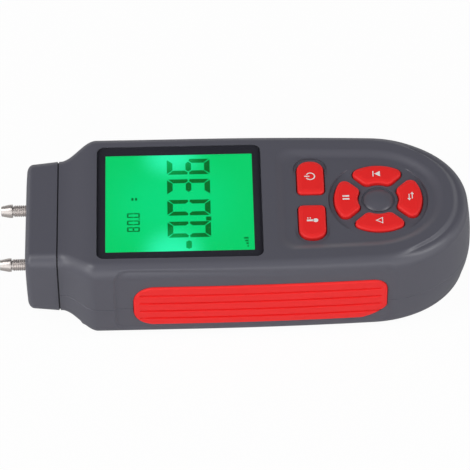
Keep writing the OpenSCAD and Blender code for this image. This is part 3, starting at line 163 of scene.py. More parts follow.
# %% [markdown]
# ### ABS, moulded in a spark-eroded tool
#
# The case is moulded in ABS. The steel mould is spark-eroded, which leaves a fine, even grain of
# about 0.15 mm on the plastic. It makes the highlights soft without hiding the shape. The grain
# could be an image. A noise texture needs no file and has no seams, so the grain is a noise
# whose scale comes from its size in millimetres. It drives a bump and a slight change in gloss.
# A pixel of the render is about 0.4 mm wide, and a grain of 0.15 mm would be lost in it. So the
# grain is drawn at 0.3 mm, and that of the rubbers and the small parts is coarse as well.

# %% Moulded plastics and rubbers
GRAIN_STRENGTH, GRAIN_GLOSS = 0.5, 0.05


def moulded(name, colour, roughness, grain_mm, grain_depth_mm, ior=1.54):
    """Moulded plastic or rubber with an even grain of a real size."""
    material, tree, output = new_material(name)
    place = add_node(tree, "ShaderNodeTexCoord").outputs["Object"]
    grain = add_node(
        tree, "ShaderNodeTexNoise",
        {"Scale": 1 / (grain_mm * MM), "Detail": 2, "Roughness": 0.5}, {"Vector": place},
    ).outputs["Fac"]
    relief = add_node(
        tree, "ShaderNodeBump", {"Strength": GRAIN_STRENGTH, "Distance": grain_depth_mm * MM},
        {"Height": grain},
    )
    gloss = add_node(
        tree, "ShaderNodeMapRange",
        {"To Min": roughness - GRAIN_GLOSS, "To Max": roughness + GRAIN_GLOSS}, {"Value": grain},
    )
    skin = add_node(
        tree, "ShaderNodeBsdfPrincipled",
        {"Base Color": linear(colour), "IOR": ior},
        {"Roughness": gloss.outputs["Result"], "Normal": relief.outputs["Normal"]},
    )
    tree.links.new(skin.outputs["BSDF"], output.inputs["Surface"])
    return material


case_abs = moulded("moulded_abs_case", "#5b5b65", 0.38, 0.3, 0.012)
key_rubber = moulded("moulded_silicone_keys", "#f82424", 0.55, 0.4, 0.006, ior=1.43)
grip_rubber = moulded("moulded_rubber_grips", "#fc1c1c", 0.6, 0.35, 0.010, ior=1.5)
mat_rubber = moulded("moulded_silicone_mat", "#b52424", 0.55, 0.4, 0.006, ior=1.43)
gasket_rubber = moulded("moulded_rubber_gasket", "#17171a", 0.6, 0.4, 0.006, ior=1.5)
white_plastic = moulded("moulded_abs_white", "#f0f0ea", 0.35, 0.4, 0.004)
chip_epoxy = moulded("moulded_epoxy_chips", "#1c1c1e", 0.55, 0.2, 0.004)
tube_silicone = moulded("extruded_silicone_tubes", "#d8d4c8", 0.3, 0.6, 0.004, ior=1.43)
strip_rubber = moulded("extruded_zebra_rubber", "#c8648f", 0.5, 0.4, 0.004, ior=1.43)
fibre = moulded("punched_vulcanised_fibre", "#a8442c", 0.7, 0.3, 0.01, ior=1.5)
cell_sleeve = moulded("shrunk_pvc_sleeve", "#3c6fb0", 0.3, 1.0, 0.004)
red_pvc = moulded("extruded_pvc_red", "#c02020", 0.4, 0.6, 0.004)
black_pvc = moulded("extruded_pvc_black", "#202024", 0.4, 0.6, 0.004)
print("moulded materials:", len(bpy.data.materials))

# %% [markdown]
# ### Metals
#
# The barbs are turned brass with a nickel plate, which looks warm grey and fairly bright. Springs
# are drawn steel wire and the screws are zinc plated. A metal could be faked with a grey gloss
# paint. A metallic surface with its own colour reflects the studio the way real plate does.
# Turning leaves rings around the axis that are too fine to see here, so the barbs keep an even
# gloss, with only a faint change from handling.

# %% Metals
WEAR_SHARE = 0.2


def plated(name, colour, roughness, wear_mm):
    """Plated or drawn metal whose gloss changes a little from place to place."""
    material, tree, output = new_material(name)
    place = add_node(tree, "ShaderNodeTexCoord").outputs["Object"]
    wear = add_node(
        tree, "ShaderNodeTexNoise", {"Scale": 1 / (wear_mm * MM), "Detail": 3}, {"Vector": place}
    )
    gloss = add_node(
        tree, "ShaderNodeMapRange",
        {"To Min": roughness * (1 - WEAR_SHARE), "To Max": roughness * (1 + WEAR_SHARE)},
        {"Value": wear.outputs["Fac"]},
    )
    skin = add_node(
        tree, "ShaderNodeBsdfPrincipled", {"Base Color": linear(colour), "Metallic": 1.0},
        {"Roughness": gloss.outputs["Result"]},
    )
    tree.links.new(skin.outputs["BSDF"], output.inputs["Surface"])
    return material


nickel = plated("nickel_plated_brass", "#f2eae6", 0.42, 2.0)
spring_steel = plated("drawn_spring_steel", "#c4c4c2", 0.3, 1.0)
screw_zinc = plated("zinc_plated_steel", "#a8a8a6", 0.35, 1.0)
print("metals:", nickel.name, spring_steel.name, screw_zinc.name)

# %% [markdown]
# ## Shapes
#
# Every skin below is made from rings or rows of points, given in millimetres, as the CAD source
# gives them. One helper turns points and faces into a piece of the scene. Two carve and join with
# a boolean, as a toolmaker would cut a pocket or weld on a boss. One sets the shading: edges
# sharper than an angle stay crisp, and large flat faces keep their own direction next to small
# rounded ones.

# %% Helpers for shapes
def new_piece(name, points, faces):
    """Closed mesh from points in millimetres, with its faces turned outwards."""
    mesh = bpy.data.meshes.new(name)
    mesh.from_pydata([Vector(p) * MM for p in points], [], faces)
    shape = bmesh.new()
    shape.from_mesh(mesh)
    bmesh.ops.recalc_face_normals(shape, faces=shape.faces)
    shape.to_mesh(mesh)
    shape.free()
    piece = bpy.data.objects.new(name, mesh)
    bpy.context.scene.collection.objects.link(piece)
    return piece


def combine(piece, how, *tools):
    """Cuts each tool from the piece, or joins it on, and removes the tool."""
    for tool in tools:
        step = piece.modifiers.new("combine", "BOOLEAN")
        step.operation = how
        step.solver = "MANIFOLD"
        step.object = tool
        bpy.context.view_layer.update()
        graph = bpy.context.evaluated_depsgraph_get()
        done = bpy.data.meshes.new_from_object(piece.evaluated_get(graph))
        piece.modifiers.clear()
        before = len(piece.data.polygons)
        piece.data = done
        bpy.data.objects.remove(tool)
        if len(done.polygons) in (0, before):
            print("WARNING", piece.name, how, "changed nothing or emptied the piece")


def cut(piece, *tools):
    combine(piece, "DIFFERENCE", *tools)


def join(piece, *tools):
    combine(piece, "UNION", *tools)


def level_shading(piece):
    """Lets large faces keep their own direction beside small rounded ones."""
    level = piece.modifiers.new("level shading", "WEIGHTED_NORMAL")
    level.keep_sharp = True


def finish_piece(piece, material, body, stands_for=(), sharp=32):
    """Gives a piece its shading, its finish, its body and the solids that it stands for."""
    piece.data.materials.clear()
    piece.data.materials.append(material)
    piece.data.shade_smooth()
    piece.data.set_sharp_from_angle(angle=math.radians(sharp))
    level_shading(piece)
    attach(piece, body)
    if stands_for:
        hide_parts(*stands_for)
    print(piece.name, len(piece.data.polygons), "faces")


def through_rings(name, rings):
    """Solid through closed rings of equal length."""
    count = len(rings[0])
    points = [p for ring in rings for p in ring]
    faces = [list(range(count)), list(range(len(points) - count, len(points)))]
    for i in range(len(rings) - 1):
        for j in range(count):
            k = (j + 1) % count
            faces.append((i * count + j, i * count + k, (i + 1) * count + k, (i + 1) * count + j))
    return new_piece(name, points, faces)


def grid_faces(columns, rows):
    """Faces of a grid whose points are listed column by column."""
    return [
        (i * rows + j, (i + 1) * rows + j, (i + 1) * rows + j + 1, i * rows + j + 1)
        for i in range(columns - 1)
        for j in range(rows - 1)
    ]


def span(node):
    """Lowest and highest corner of a CAD node, in millimetres."""
    low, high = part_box(node)
    return low / MM, high / MM


print("front shell in mm:", [round(v, 1) for corner in span("front_shell") for v in corner])

# %% [markdown]
# ## The outline of the case
#
# Seen from above, the case has a narrow neck, a shoulder that widens it into the body, sides that
# taper slightly, and a tail rounded like an ellipse. A modeller could draw it as a curve. It is
# computed here with the same few numbers as in the CAD source, in much finer steps, so that the
# skins sit exactly on the solids. Lengths come from the frame, and the rest are the radii and
# leans of the moulding.

# %% Outline of the case
TAIL_END = cad_high.x / MM
BODY_W = cad_high.y * 2 / MM
FACE_Z = span("front_shell")[1].z
SEAM_Z = span("front_shell")[0].z
NECK_X = span("front_shell")[0].x
NECK_W = span("head_cap")[1].y * 2
NECK_LOW_Z, NECK_TOP_Z = span("head_cap")[0].z, span("head_cap")[1].z
SHOULDER_X = NECK_X + 0.4
SHOULDER_RUN = 14
WIDEST_X = -16
SIDE_TAPER = 1.5
TAIL_L = 38.5
TAIL_X = TAIL_END - TAIL_L
TAIL_POWER = 2.16


def ease(t):
    """Smooth rise from 0 to 1."""
    t = min(1, max(0, t))
    return t * t * (3 - 2 * t)


def shoulder(x):
    return ease((x - SHOULDER_X) / SHOULDER_RUN)


def side_y(x):
    """Half the width of the case without its rounded tail."""
    taper = SIDE_TAPER * (max(0, x - WIDEST_X) / (TAIL_X - WIDEST_X)) ** 2
    return NECK_W / 2 + (BODY_W - NECK_W) / 2 * shoulder(x) - taper


def edge_y(x):
    """Half the width of the outline."""
    past = min(1, max(0, x - TAIL_X) / TAIL_L)
    return side_y(x) * (1 - past**TAIL_POWER) ** (1 / TAIL_POWER)


def side_station(x):
    """x, y, direction of insets, share of the shoulder and share of the tail."""
    return (x, side_y(x), 0, 1, shoulder(x), 0)


def tail_station(turn):
    a = math.radians(turn)
    x = TAIL_X + TAIL_L * math.sin(a) ** (2 / TAIL_POWER)
    y = side_y(x) * math.cos(a) ** (2 / TAIL_POWER) if turn < 90 else 0
    return (x, y, math.sin(a), math.cos(a), 1, math.sin(a) ** 2)


def spread(start, end, step):
    """Values from start to end, both included, at about that step."""
    count = max(1, round((end - start) / step))
    return [start + (end - start) * i / count for i in range(count + 1)]


print("outline:", round(NECK_W, 1), "to", round(BODY_W, 1), "mm wide, seam at", round(SEAM_Z, 2))

# %% [markdown]
# ## The two shells
#
# The real case is two mouldings that meet at a parting line below the middle of the sides. Each
# wall leans in a little, so that the part leaves its mould. Along the sides the upper edge rolls
# over in one soft curve. Around the tail the curve is smaller, and a step leads up to the flat
# face. A shallow scoop runs along each side, and the red grip stands in it.
#
# A cube with subdivision would give soft edges but no control of the scoop. The skin is a grid:
# one column for each place along the outline, and one row for each height on the wall. Every
# point knows how far it is from the scoop's edge, and is pushed in by up to the scoop's depth.
# That edge is crisp at the head and fades towards the tail.

# %% The scoop in the sides
SCOOP_X = (-46.9, 60.8)
SCOOP_ALONG = (-12.5, 20.5)
SCOOP_CORNER, SCOOP_DEPTH = 5.5, 0.65
SCOOP_EDGE, SCOOP_EDGE_RUN = (0.9, 3.5), 100


def scoop(x, along):
    """Depth of the side scoop at x and at a distance along the wall from the seam."""
    half_x = (SCOOP_X[1] - SCOOP_X[0]) / 2 - SCOOP_CORNER
    half_s = (SCOOP_ALONG[1] - SCOOP_ALONG[0]) / 2 - SCOOP_CORNER
    dx = abs(x - sum(SCOOP_X) / 2) - half_x
    ds = abs(along - sum(SCOOP_ALONG) / 2) - half_s
    outside = math.hypot(max(dx, 0), max(ds, 0)) + min(max(dx, ds), 0)
    share = ease((x - SCOOP_X[0]) / SCOOP_EDGE_RUN)
    edge = SCOOP_EDGE[0] + (SCOOP_EDGE[1] - SCOOP_EDGE[0]) * share
    return SCOOP_DEPTH * ease((SCOOP_CORNER - outside) / edge)


print("scoop:", round(SCOOP_X[1] - SCOOP_X[0], 1), "mm long and", SCOOP_DEPTH, "mm deep")

# %% Rows of the shells
TOP_ROUND, TAIL_ROUND_LESS, BACK_ROUND = 4.6, 1.1, 5.5
TOP_LEAN, BACK_LEAN, TAIL_LEAN = 0.3, 0.6, 1.1
SIDE_STEP, TAIL_STEP = 1.0, 0.5
STEP_RUN, TAIL_STEP_RUN = 0.5, 2.3
NECK_STEP_SHARE, STEP_FADE = 0.1, 0.3
SEAM_GROOVE = ((0.2, 0), (0.08, 0.07), (0, 0.16))
WALL_ROWS, ARC_ROWS, STEP_ROWS = 34, 18, 8


def wall_profile(station, up, groove=SEAM_GROOVE):
    """Inset, height and tilt of the skin from the seam to the face (up) or back (down)."""
    wide, tail = station[4:]
    if up > 0:
        lean, r = TOP_LEAN + TAIL_LEAN * tail, TOP_ROUND - TAIL_ROUND_LESS * tail
        end_z = NECK_TOP_Z + (FACE_Z - NECK_TOP_Z) * wide
        step_share = NECK_STEP_SHARE + (1 - NECK_STEP_SHARE) * wide**4
        step = (SIDE_STEP + TAIL_STEP * tail) * step_share
        run = STEP_RUN + TAIL_STEP_RUN * tail
    else:
        lean, r = BACK_LEAN + TAIL_LEAN * tail, BACK_ROUND
        end_z, step, run = NECK_LOW_Z * (1 - wide), 0, 0
    height = abs(end_z - SEAM_Z) - step - r
    rows = [(inset, SEAM_Z + up * rise, 0, up * rise) for inset, rise in groove]
    start = groove[-1][1]
    for i in range(1, WALL_ROWS):
        rise = start + (height - start) * i / WALL_ROWS
        rows.append((lean * (rise / height) ** 2, SEAM_Z + up * rise, 0, up * rise))
    stepped = ease(tail / STEP_FADE)
    for i in range(ARC_ROWS + STEP_ROWS + 1):
        a = math.radians(90 * i / (ARC_ROWS + STEP_ROWS))
        b = math.radians(90 * min(1, i / ARC_ROWS))
        t = max(0, i - ARC_ROWS) / STEP_ROWS
        soft = (r + run) * (1 - math.cos(a)), (r + step) * math.sin(a)
        crisp = r * (1 - math.cos(b)) + run * t, r * math.sin(b) + step * ease(t)
        inset, rise = (s + (c - s) * stepped for s, c in zip(soft, crisp))
        rows.append((lean + inset, SEAM_Z + up * (height + rise), a, up * (height + r * a)))
    return rows


print("rows on a wall:", len(wall_profile(side_station(0), 1)))


# %% Columns of the shells
def column(station, rows, up):
    """Points of one column of the grid, with the scoop pushed in."""
    x, y, dx, dy = station[:4]
    points = []
    for inset, z, tilt, along in rows:
        depth = scoop(x - dx * inset, along)
        inset += depth * math.cos(tilt)
        points.append((x - dx * inset, y - dy * inset, z - up * depth * math.sin(tilt)))
    return points


def from_columns(name, half):
    """Solid from columns on the +Y side, ending on the middle line, and their mirror images."""
    columns = half + [[(x, -y, z) for x, y, z in c] for c in reversed(half[:-1])]
    last, rows = len(columns) - 1, len(half[0])
    points = [p for c in columns for p in c]
    faces = grid_faces(len(columns), rows)
    for i in range(last // 2):
        for j in (0, rows - 1):
            ring = [(i + k) * rows + j for k in (0, 1)]
            ring += [(last - i - k) * rows + j for k in (1, 0)]
            faces.append(ring if ring[1] != ring[2] else [ring[0], ring[1], ring[3]])
    faces.append(list(range(rows)) + list(range((last + 1) * rows - 1, last * rows - 1, -1)))
    return new_piece(name, points, faces)


# Runs of columns, as start, end and step: millimetres along the side, then degrees around the
# tail. They stand closer where the scoop starts and where it ends.
SIDE_RUNS = ((NECK_X, -48.5, 0.5), (-48.2, -44.8, 0.25), (-43.5, TAIL_X, 1.2))
TAIL_RUNS = ((1, 8, 0.6), (8.3, 14, 0.25), (14.5, 90, 0.75))
stations = [side_station(x) for run in SIDE_RUNS for x in spread(*run)]
stations += [tail_station(turn) for run in TAIL_RUNS for turn in spread(*run)]


def shell_skin(name, up):
    return from_columns(name, [column(s, wall_profile(s, up), up) for s in stations])


front_skin = shell_skin("front_shell_skin", 1)
back_skin = shell_skin("back_shell_skin", -1)
print("columns:", len(stations) * 2 - 1)

# %% [markdown]
# ### Hollow shells
#
# A moulded case is a thin wall, about 2.4 mm here, and the works sit inside. The hollow could be
# left out, as the camera never sees it. It is cut all the same, because the battery door opens
# and the inner pieces need their room.

# %% Hollow the shells
WALL, ROOF, FLOOR, INNER_ROUND = 2.4, 3.0, 2.2, 3.0
HOLLOW_ROWS, HOLLOW_STEP = 8, 4


def hollow(name, up):
    """Inside of one shell, open at the seam and at the neck."""
    half = []
    inner = [side_station(x) for x in [NECK_X - 1, *spread(NECK_X, TAIL_X, HOLLOW_STEP)]]
    inner += [tail_station(turn) for turn in spread(HOLLOW_STEP, 90, HOLLOW_STEP)]
    for s in inner:
        wide, tail = s[4:]
        if up > 0:
            lean = TOP_LEAN + TAIL_LEAN * tail
            top_z = NECK_TOP_Z + (FACE_Z - NECK_TOP_Z) * wide
            end_z = top_z - WALL - (ROOF - WALL) * wide
        else:
            lean, end_z = BACK_LEAN + TAIL_LEAN * tail, NECK_LOW_Z * (1 - wide) + FLOOR
        rows = [(WALL, SEAM_Z - up), (WALL, SEAM_Z + up * 2)]
        for i in range(HOLLOW_ROWS + 1):
            a = math.radians(90 * i / HOLLOW_ROWS)
            inset = WALL + lean + INNER_ROUND * (1 - math.cos(a))
            rows.append((inset, end_z - up * INNER_ROUND * (1 - math.sin(a))))
        half.append([(s[0] - s[2] * i, s[1] - s[3] * i, z) for i, z in rows])
    return from_columns(name, half)


cut(front_skin, hollow("front_hollow", 1))
cut(back_skin, hollow("back_hollow", -1))
print("wall:", WALL, "mm")

# %% [markdown]
# ### The window's seat and the keypad's hollow
#
# The clear window lies in a pocket of the face, above an opening for the display. Around the
# keys the face sinks 1.2 mm with a soft slope, then shallow dishes with crisp rims follow the
# key groups. Loops could be drawn into the grid for all this. Cutting with solids is simpler and
# leaves the grid of the walls alone: one solid for each tool that a mould maker would use.

# %% Outlines on the face
def arc(centre, r, start, end, steps):
    """Points of an arc between two angles in degrees."""
    turns = [math.radians(start + (end - start) * i / steps) for i in range(steps + 1)]
    return [(centre[0] + r * math.cos(a), centre[1] + r * math.sin(a)) for a in turns]


def rounded(x0, x1, y0, y1, r0, r1, steps=10):
    """Rectangle with one radius at its low y corners and one at its high y corners."""
    corners = [(x1 - r0, y0 + r0, r0, -90), (x1 - r1, y1 - r1, r1, 0)]
    corners += [(x0 + r1, y1 - r1, r1, 90), (x0 + r0, y0 + r0, r0, 180)]
    return [p for x, y, r, start in corners for p in arc((x, y), r, start, start + 90, steps)]


def grown_box(low, high, grow, r, steps=10):
    """Rounded rectangle around a box seen from above, grown by a margin."""
    return rounded(low.x - grow, high.x + grow, low.y - grow, high.y + grow, r, r, steps)


def prism(name, outline, z0, z1):
    return through_rings(name, [[(x, y, z) for x, y in outline] for z in (z0, z1)])


# %% The keypad's hollow
RECESS_DEPTH, RECESS_SLOPE, RECESS_INSET, RECESS_TAIL, RECESS_R = 1.2, 4.4, 8.7, 1.8, 6
RECESS_X = TAIL_END - 75.3
RECESS_Z = FACE_Z - RECESS_DEPTH
SLOPE_ROWS, CORNER_STEPS, SIDE_STEPS, TAIL_TURN = 14, 16, 20, 1.5
RIM_MARGIN, RIM_RISE, CLEAR = 0.5, 0.04, 2


def recess_ring(reach, z):
    """Closed outline of the keypad hollow, drawn in by reach, at one height."""
    inset = RECESS_INSET + reach
    corner_x = RECESS_X + reach + RECESS_R
    corner = (corner_x, edge_y(corner_x) - inset - RECESS_R)
    half = [(x, y, z) for x, y in arc(corner, RECESS_R, 180, 90, CORNER_STEPS)]
    for i in range(1, SIDE_STEPS + 1):
        x = corner_x + (TAIL_X - corner_x) * i / SIDE_STEPS
        half.append((x, side_y(x) - inset, z))
    for turn in spread(TAIL_TURN, 90, TAIL_TURN):
        x, y, dx, dy, _, tail = tail_station(turn)
        d = inset + RECESS_TAIL * tail
        half.append((x - dx * d, max(0, y - dy * d), z))
    return half + [(x, -y, z) for x, y, z in reversed(half[:-1])]


recess_rings = [recess_ring(-RIM_MARGIN, FACE_Z + rise) for rise in (CLEAR, RIM_RISE)]
for i in range(1, SLOPE_ROWS + 1):
    t = i / SLOPE_ROWS
    recess_rings.append(recess_ring(RECESS_SLOPE * t, FACE_Z - RECESS_DEPTH * ease(t)))
cut(front_skin, through_rings("recess_tool", recess_rings))
print("keypad hollow from x =", round(RECESS_X, 1))

# %% The window's seat
WINDOW_R, SEAT_GAP, WELL_GAP = 2.9, 0.1, 0.2
window_low, window_high = span("display_window")
glass_low, glass_high = span("display_glass")
seat_z = span("window_mask")[0].z

window_seat = prism(
    "window_seat", grown_box(window_low, window_high, SEAT_GAP, WINDOW_R), seat_z, FACE_Z + CLEAR
)
glass_well = prism(
    "glass_well", grown_box(glass_low, glass_high, WELL_GAP, WELL_GAP, 2),
    SEAM_Z + CLEAR, seat_z + 0.1,
)
cut(front_skin, window_seat, glass_well)
print("window seat at z =", round(seat_z, 2))

# %% [markdown]
# ### Outlines of the keys
#
# Four keys are slices of a ring, with rounded corners and straight gaps between them. The other
# two are rounded rectangles. The same outline is needed several times, each a little larger or
# smaller: for the key's rolled edge, its flange, and the hole in the face. An offset tool could
# make each one. Here a formula gives the outline at any distance, so all the copies have the
# same number of points and can be joined ring by ring.

# %% Outline of a ring key
max_low, max_high = span("max_key")
PAD_X = (max_low.x + max_high.x) / 2
FLANGE = 1.1
PAD_R = span("units_key")[1].x - PAD_X - FLANGE
PAD_INNER_R, PAD_GAP, PAD_CORNER = 7.9, 3.3, 2.5
KEY_GAP, CORNER_LOSS = 0.42, 0.3
RING_STEPS, CORNER_ARC_STEPS = 14, 8


def pad_outline(shrink, turn):
    """Outline of one key of the ring, drawn in by shrink, and turned to its place.

    Its corners lose less than the shrink, so that the rolled edge stays round there.
    """
    outer, inner = PAD_R - shrink, PAD_INNER_R + shrink
    corner = PAD_CORNER - shrink * (CORNER_LOSS if shrink > 0 else 1)
    offset = (PAD_GAP / 2 + shrink + corner) * math.sqrt(2)
    half = []
    for reach, outside in ((outer - corner, True), (inner + corner, False)):
        y = (-offset + math.sqrt(2 * reach**2 - offset**2)) / 2
        centre = (y + offset, y)
        aim = math.degrees(math.atan2(centre[1], centre[0]))
        if outside:
            half += arc((0, 0), outer, 0, aim, RING_STEPS)[:-1]
            half += arc(centre, corner, aim, 135, CORNER_ARC_STEPS)
        else:
            half += arc(centre, corner, 135, aim + 180, CORNER_ARC_STEPS)
            half += arc((0, 0), inner, aim, 0, CORNER_ARC_STEPS)[1:]
    points = half + [(x, -y) for x, y in reversed(half[1:-1])]
    c, s = math.cos(math.radians(turn)), math.sin(math.radians(turn))
    return [(PAD_X + x * c - y * s, x * s + y * c) for x, y in points]


print("ring of keys at x =", round(PAD_X, 1), "radius", round(PAD_R, 2))

# %% Outline of a straight key
key_low, key_high = span("power_key")
PAIR_X0, PAIR_X1 = key_low.x + FLANGE, key_high.x - FLANGE
PAIR_Y0, PAIR_Y1 = key_low.y + FLANGE, key_high.y - FLANGE
PAIR_INNER_R, PAIR_OUTER_R = 1.9, 4.7


def pair_outline(shrink, side):
    """Outline of one of the two straight keys, drawn in by shrink."""
    points = rounded(
        PAIR_X0 + shrink, PAIR_X1 - shrink, PAIR_Y0 + shrink, PAIR_Y1 - shrink,
        PAIR_INNER_R - shrink, PAIR_OUTER_R - shrink,
    )
    return [(x, side * y) for x, y in points]


KEYS = {
    "hold_key": (pad_outline, 180),
    "max_key": (pad_outline, 90),
    "units_key": (pad_outline, 0),
    "difference_key": (pad_outline, 270),
    "power_key": (pair_outline, 1),
    "temperature_key": (pair_outline, -1),
}
print("straight keys:", round(PAIR_X1 - PAIR_X0, 1), "by", round(PAIR_Y1 - PAIR_Y0, 1), "mm")

# %% [markdown]
# ### Dishes, hub and key holes
#
# A shallow dish lies around the ring of keys, and one beyond each straight key. Their floors rise
# to the face, so that their rims show only beside the outer keys and fade out between them. A
# lathe shape would give a rim of one depth all around, so the dishes are grids whose depth
# follows the angle, or the distance from the middle. A domed hub stands in the middle. It is part
# of the case, not a key. Each key hole is the key's own outline with the clearance added.

# %% The dish around the ring
DISH_DEPTH, SIDE_DEPTH, DISH_R, DISH_SLOPE, DISH_ANGLES = 0.65, 0.9, 19.2, 0.3, 160
DEEPEN_START, DEEPEN_RUN = 15, 4
FADE_START, FADE_RUN = 10, 8.5
BESIDE_COS, BESIDE_RUN = 0.5, 0.3
INNER_RADII, ABOVE = (0.5, 9), 0.03


def dish_z(r, a):
    """Floor of the dish at a radius and an angle; ABOVE keeps it clear of the flat floor."""
    beside = ease((abs(math.cos(a)) - BESIDE_COS) / BESIDE_RUN)
    depth = DISH_DEPTH + (SIDE_DEPTH - DISH_DEPTH) * ease((r - DEEPEN_START) / DEEPEN_RUN)
    depth *= 1 - (1 - beside) * ease((r - FADE_START) / FADE_RUN)
    return RECESS_Z + ABOVE * (1 - beside) - depth


angles = [2 * math.pi * i / DISH_ANGLES for i in range(DISH_ANGLES)]
rings = []
for r in (*INNER_RADII, *spread(FADE_START, DISH_R - DISH_SLOPE, 1)):
    rings.append([(PAD_X + r * math.cos(a), r * math.sin(a), dish_z(r, a)) for a in angles])
for r, z in ((DISH_R, RECESS_Z + ABOVE), (DISH_R + DISH_SLOPE, FACE_Z + CLEAR)):
    rings.append([(PAD_X + r * math.cos(a), r * math.sin(a), z) for a in angles])
cut(front_skin, through_rings("dish_tool", rings))
print("dish:", DISH_R, "mm in radius")

# %% The dishes beyond the straight keys
DISH_MARGIN, PAIR_DISH_SIDE, PAIR_DISH_START, PAIR_DISH_R = 2, 1.3, 11, 5.5
ARCH_ROWS, ARCH_STEP = 14, 0.7
pair_middle, dish_end = (PAIR_X0 + PAIR_X1) / 2, PAIR_Y1 + DISH_MARGIN
arch_start = dish_end - PAIR_DISH_R
turns = [math.radians(90 * i / ARCH_ROWS) for i in range(1, ARCH_ROWS)]
places = spread(PAIR_DISH_START, arch_start, ARCH_STEP)
places += [arch_start + PAIR_DISH_R * math.sin(a) for a in turns]
for side in (1, -1):
    rings = []
    for y in places:
        past = max(0, y - arch_start)
        half = (PAIR_X1 - PAIR_X0) / 2 + PAIR_DISH_SIDE
        half -= PAIR_DISH_R - math.sqrt(PAIR_DISH_R**2 - past**2)
        deep = ease((y - PAIR_DISH_START) / (dish_end - PAIR_DISH_START - 2))
        floor = RECESS_Z + ABOVE - (DISH_DEPTH + ABOVE) * deep
        corners = ((-half, floor), (half, floor), (half, FACE_Z + CLEAR), (-half, FACE_Z + CLEAR))
        rings.append([(pair_middle + u, side * y, z) for u, z in corners])
    cut(front_skin, through_rings("pair_dish_tool", rings))
print("straight dishes end at y =", round(dish_end, 1))

# %% [markdown]
# The hub, like the screw wells and the barbs further down, is round. A cylinder with a bevel
# would do for a plain peg. One lathe helper turns any profile about an axis instead, and so makes
# the domed hub, the stepped wells and the tapered barbs alike.

# %% The hub and the key holes
def turned(name, profile, centre, axis, steps=96):
    """Solid of revolution: profile holds (radius, place along the axis), from end to end."""
    rings = []
    for r, along in profile:
        ring = []
        for u, v in arc((0, 0), r, 0, 360, steps)[:-1]:
            point = (u, v, along) if axis == "Z" else (along, u, v)
            ring.append(tuple(c + p for c, p in zip(centre, point)))
        rings.append(ring)
    return through_rings(name, rings)


DISH_Z = RECESS_Z - DISH_DEPTH
GROOVE_R, GROOVE_DRAFT, GROOVE_DROP = 6.6, 0.1, 0.5
HUB_R, HUB_RISE, HUB_BASE, HUB_EDGE, HUB_ROWS = 5.6, 1.1, 0.9, 0.12, 12
groove_profile = [(GROOVE_R - GROOVE_DRAFT, DISH_Z - GROOVE_DROP), (GROOVE_R, FACE_Z)]
cut(front_skin, turned("groove_tool", groove_profile, (PAD_X, 0, 0), "Z"))
ball_r = (HUB_R**2 + HUB_RISE**2) / (2 * HUB_RISE)
hub_profile = [(HUB_R, DISH_Z - HUB_BASE), (HUB_R, DISH_Z - HUB_EDGE)]
for i in range(1, HUB_ROWS + 1):
    r = HUB_R * (1 - i / (HUB_ROWS + 0.2))
    hub_profile.append((r, DISH_Z + HUB_RISE - ball_r + math.sqrt(ball_r**2 - r**2)))
join(front_skin, turned("hub_tool", hub_profile, (PAD_X, 0, 0), "Z"))
for outline, place in KEYS.values():
    hole = outline(-KEY_GAP, place)
    cut(front_skin, prism("key_hole", hole, FACE_Z - ROOF - CLEAR, FACE_Z + CLEAR))
print("face:", len(front_skin.data.polygons), "faces")

# %% [markdown]
# ## The keys
#
# The keys are moulded silicone, red all through, with a rolled upper edge and a barely crowned
# top. Under the face each has a flange, which keeps it in, and a plunger for its contact. A
# bevel modifier could roll the edge. Rings of the same outline, each drawn in and raised a
# little, give a rolled edge of an exact radius all the way around.

# %% Build the keys
KEY_ROLL, ROLL_DROP, KEY_CROWN, ROLL_ROWS = 1.15, 0.85, 0.25, 9
FLANGE_TOP_Z, FLANGE_T = FACE_Z - ROOF, 0.9
CROWN_ROWS = ((1.45, 0.5), (1.8, 0.2))


def key_skin(name, outline, place):
    """Key with its flange, rolled edge and crowned top."""
    roll_z = FACE_Z - KEY_CROWN - ROLL_DROP
    levels = [(-FLANGE, FLANGE_TOP_Z - FLANGE_T), (-FLANGE, FLANGE_TOP_Z)]
    levels += [(0, FLANGE_TOP_Z), (0, FLANGE_TOP_Z + 0.2)]
    for i in range(ROLL_ROWS + 1):
        a = math.radians(90 * i / ROLL_ROWS)
        levels.append((KEY_ROLL * (1 - math.cos(a)), roll_z + ROLL_DROP * math.sin(a)))
    levels += [(shrink, FACE_Z - KEY_CROWN * share) for shrink, share in CROWN_ROWS]
    rings = [[(x, y, z) for x, y in outline(shrink, place)] for shrink, z in levels]
    return through_rings(name, rings)


for name, (outline, place) in KEYS.items():
    finish_piece(key_skin(name + "_skin", outline, place), key_rubber, name, [name])

# %% [markdown]
# ## The side grips
#
# Each grip is a strip of soft red rubber in its own pocket, with four thin grooves along it. Its
# head end is round, and its tail end is cut at a slant below. A plane with a solidify modifier
# would lose the slant. The strip is a grid whose columns follow its outline. Each point's height
# comes from its distance to the outline, for the rounded edge, and to the nearest groove.

# %% Outline of a grip
grip_low, grip_high = span("left_grip")
GRIP_X0, GRIP_X1, GRIP_Z0, GRIP_Z1 = grip_low.x, grip_high.x, grip_low.z, grip_high.z
GRIP_R, GRIP_TAIL_R = 8, 5.5
SLANT_L, SLANT_H, SLANT_POWER = 10, 7, 1.35


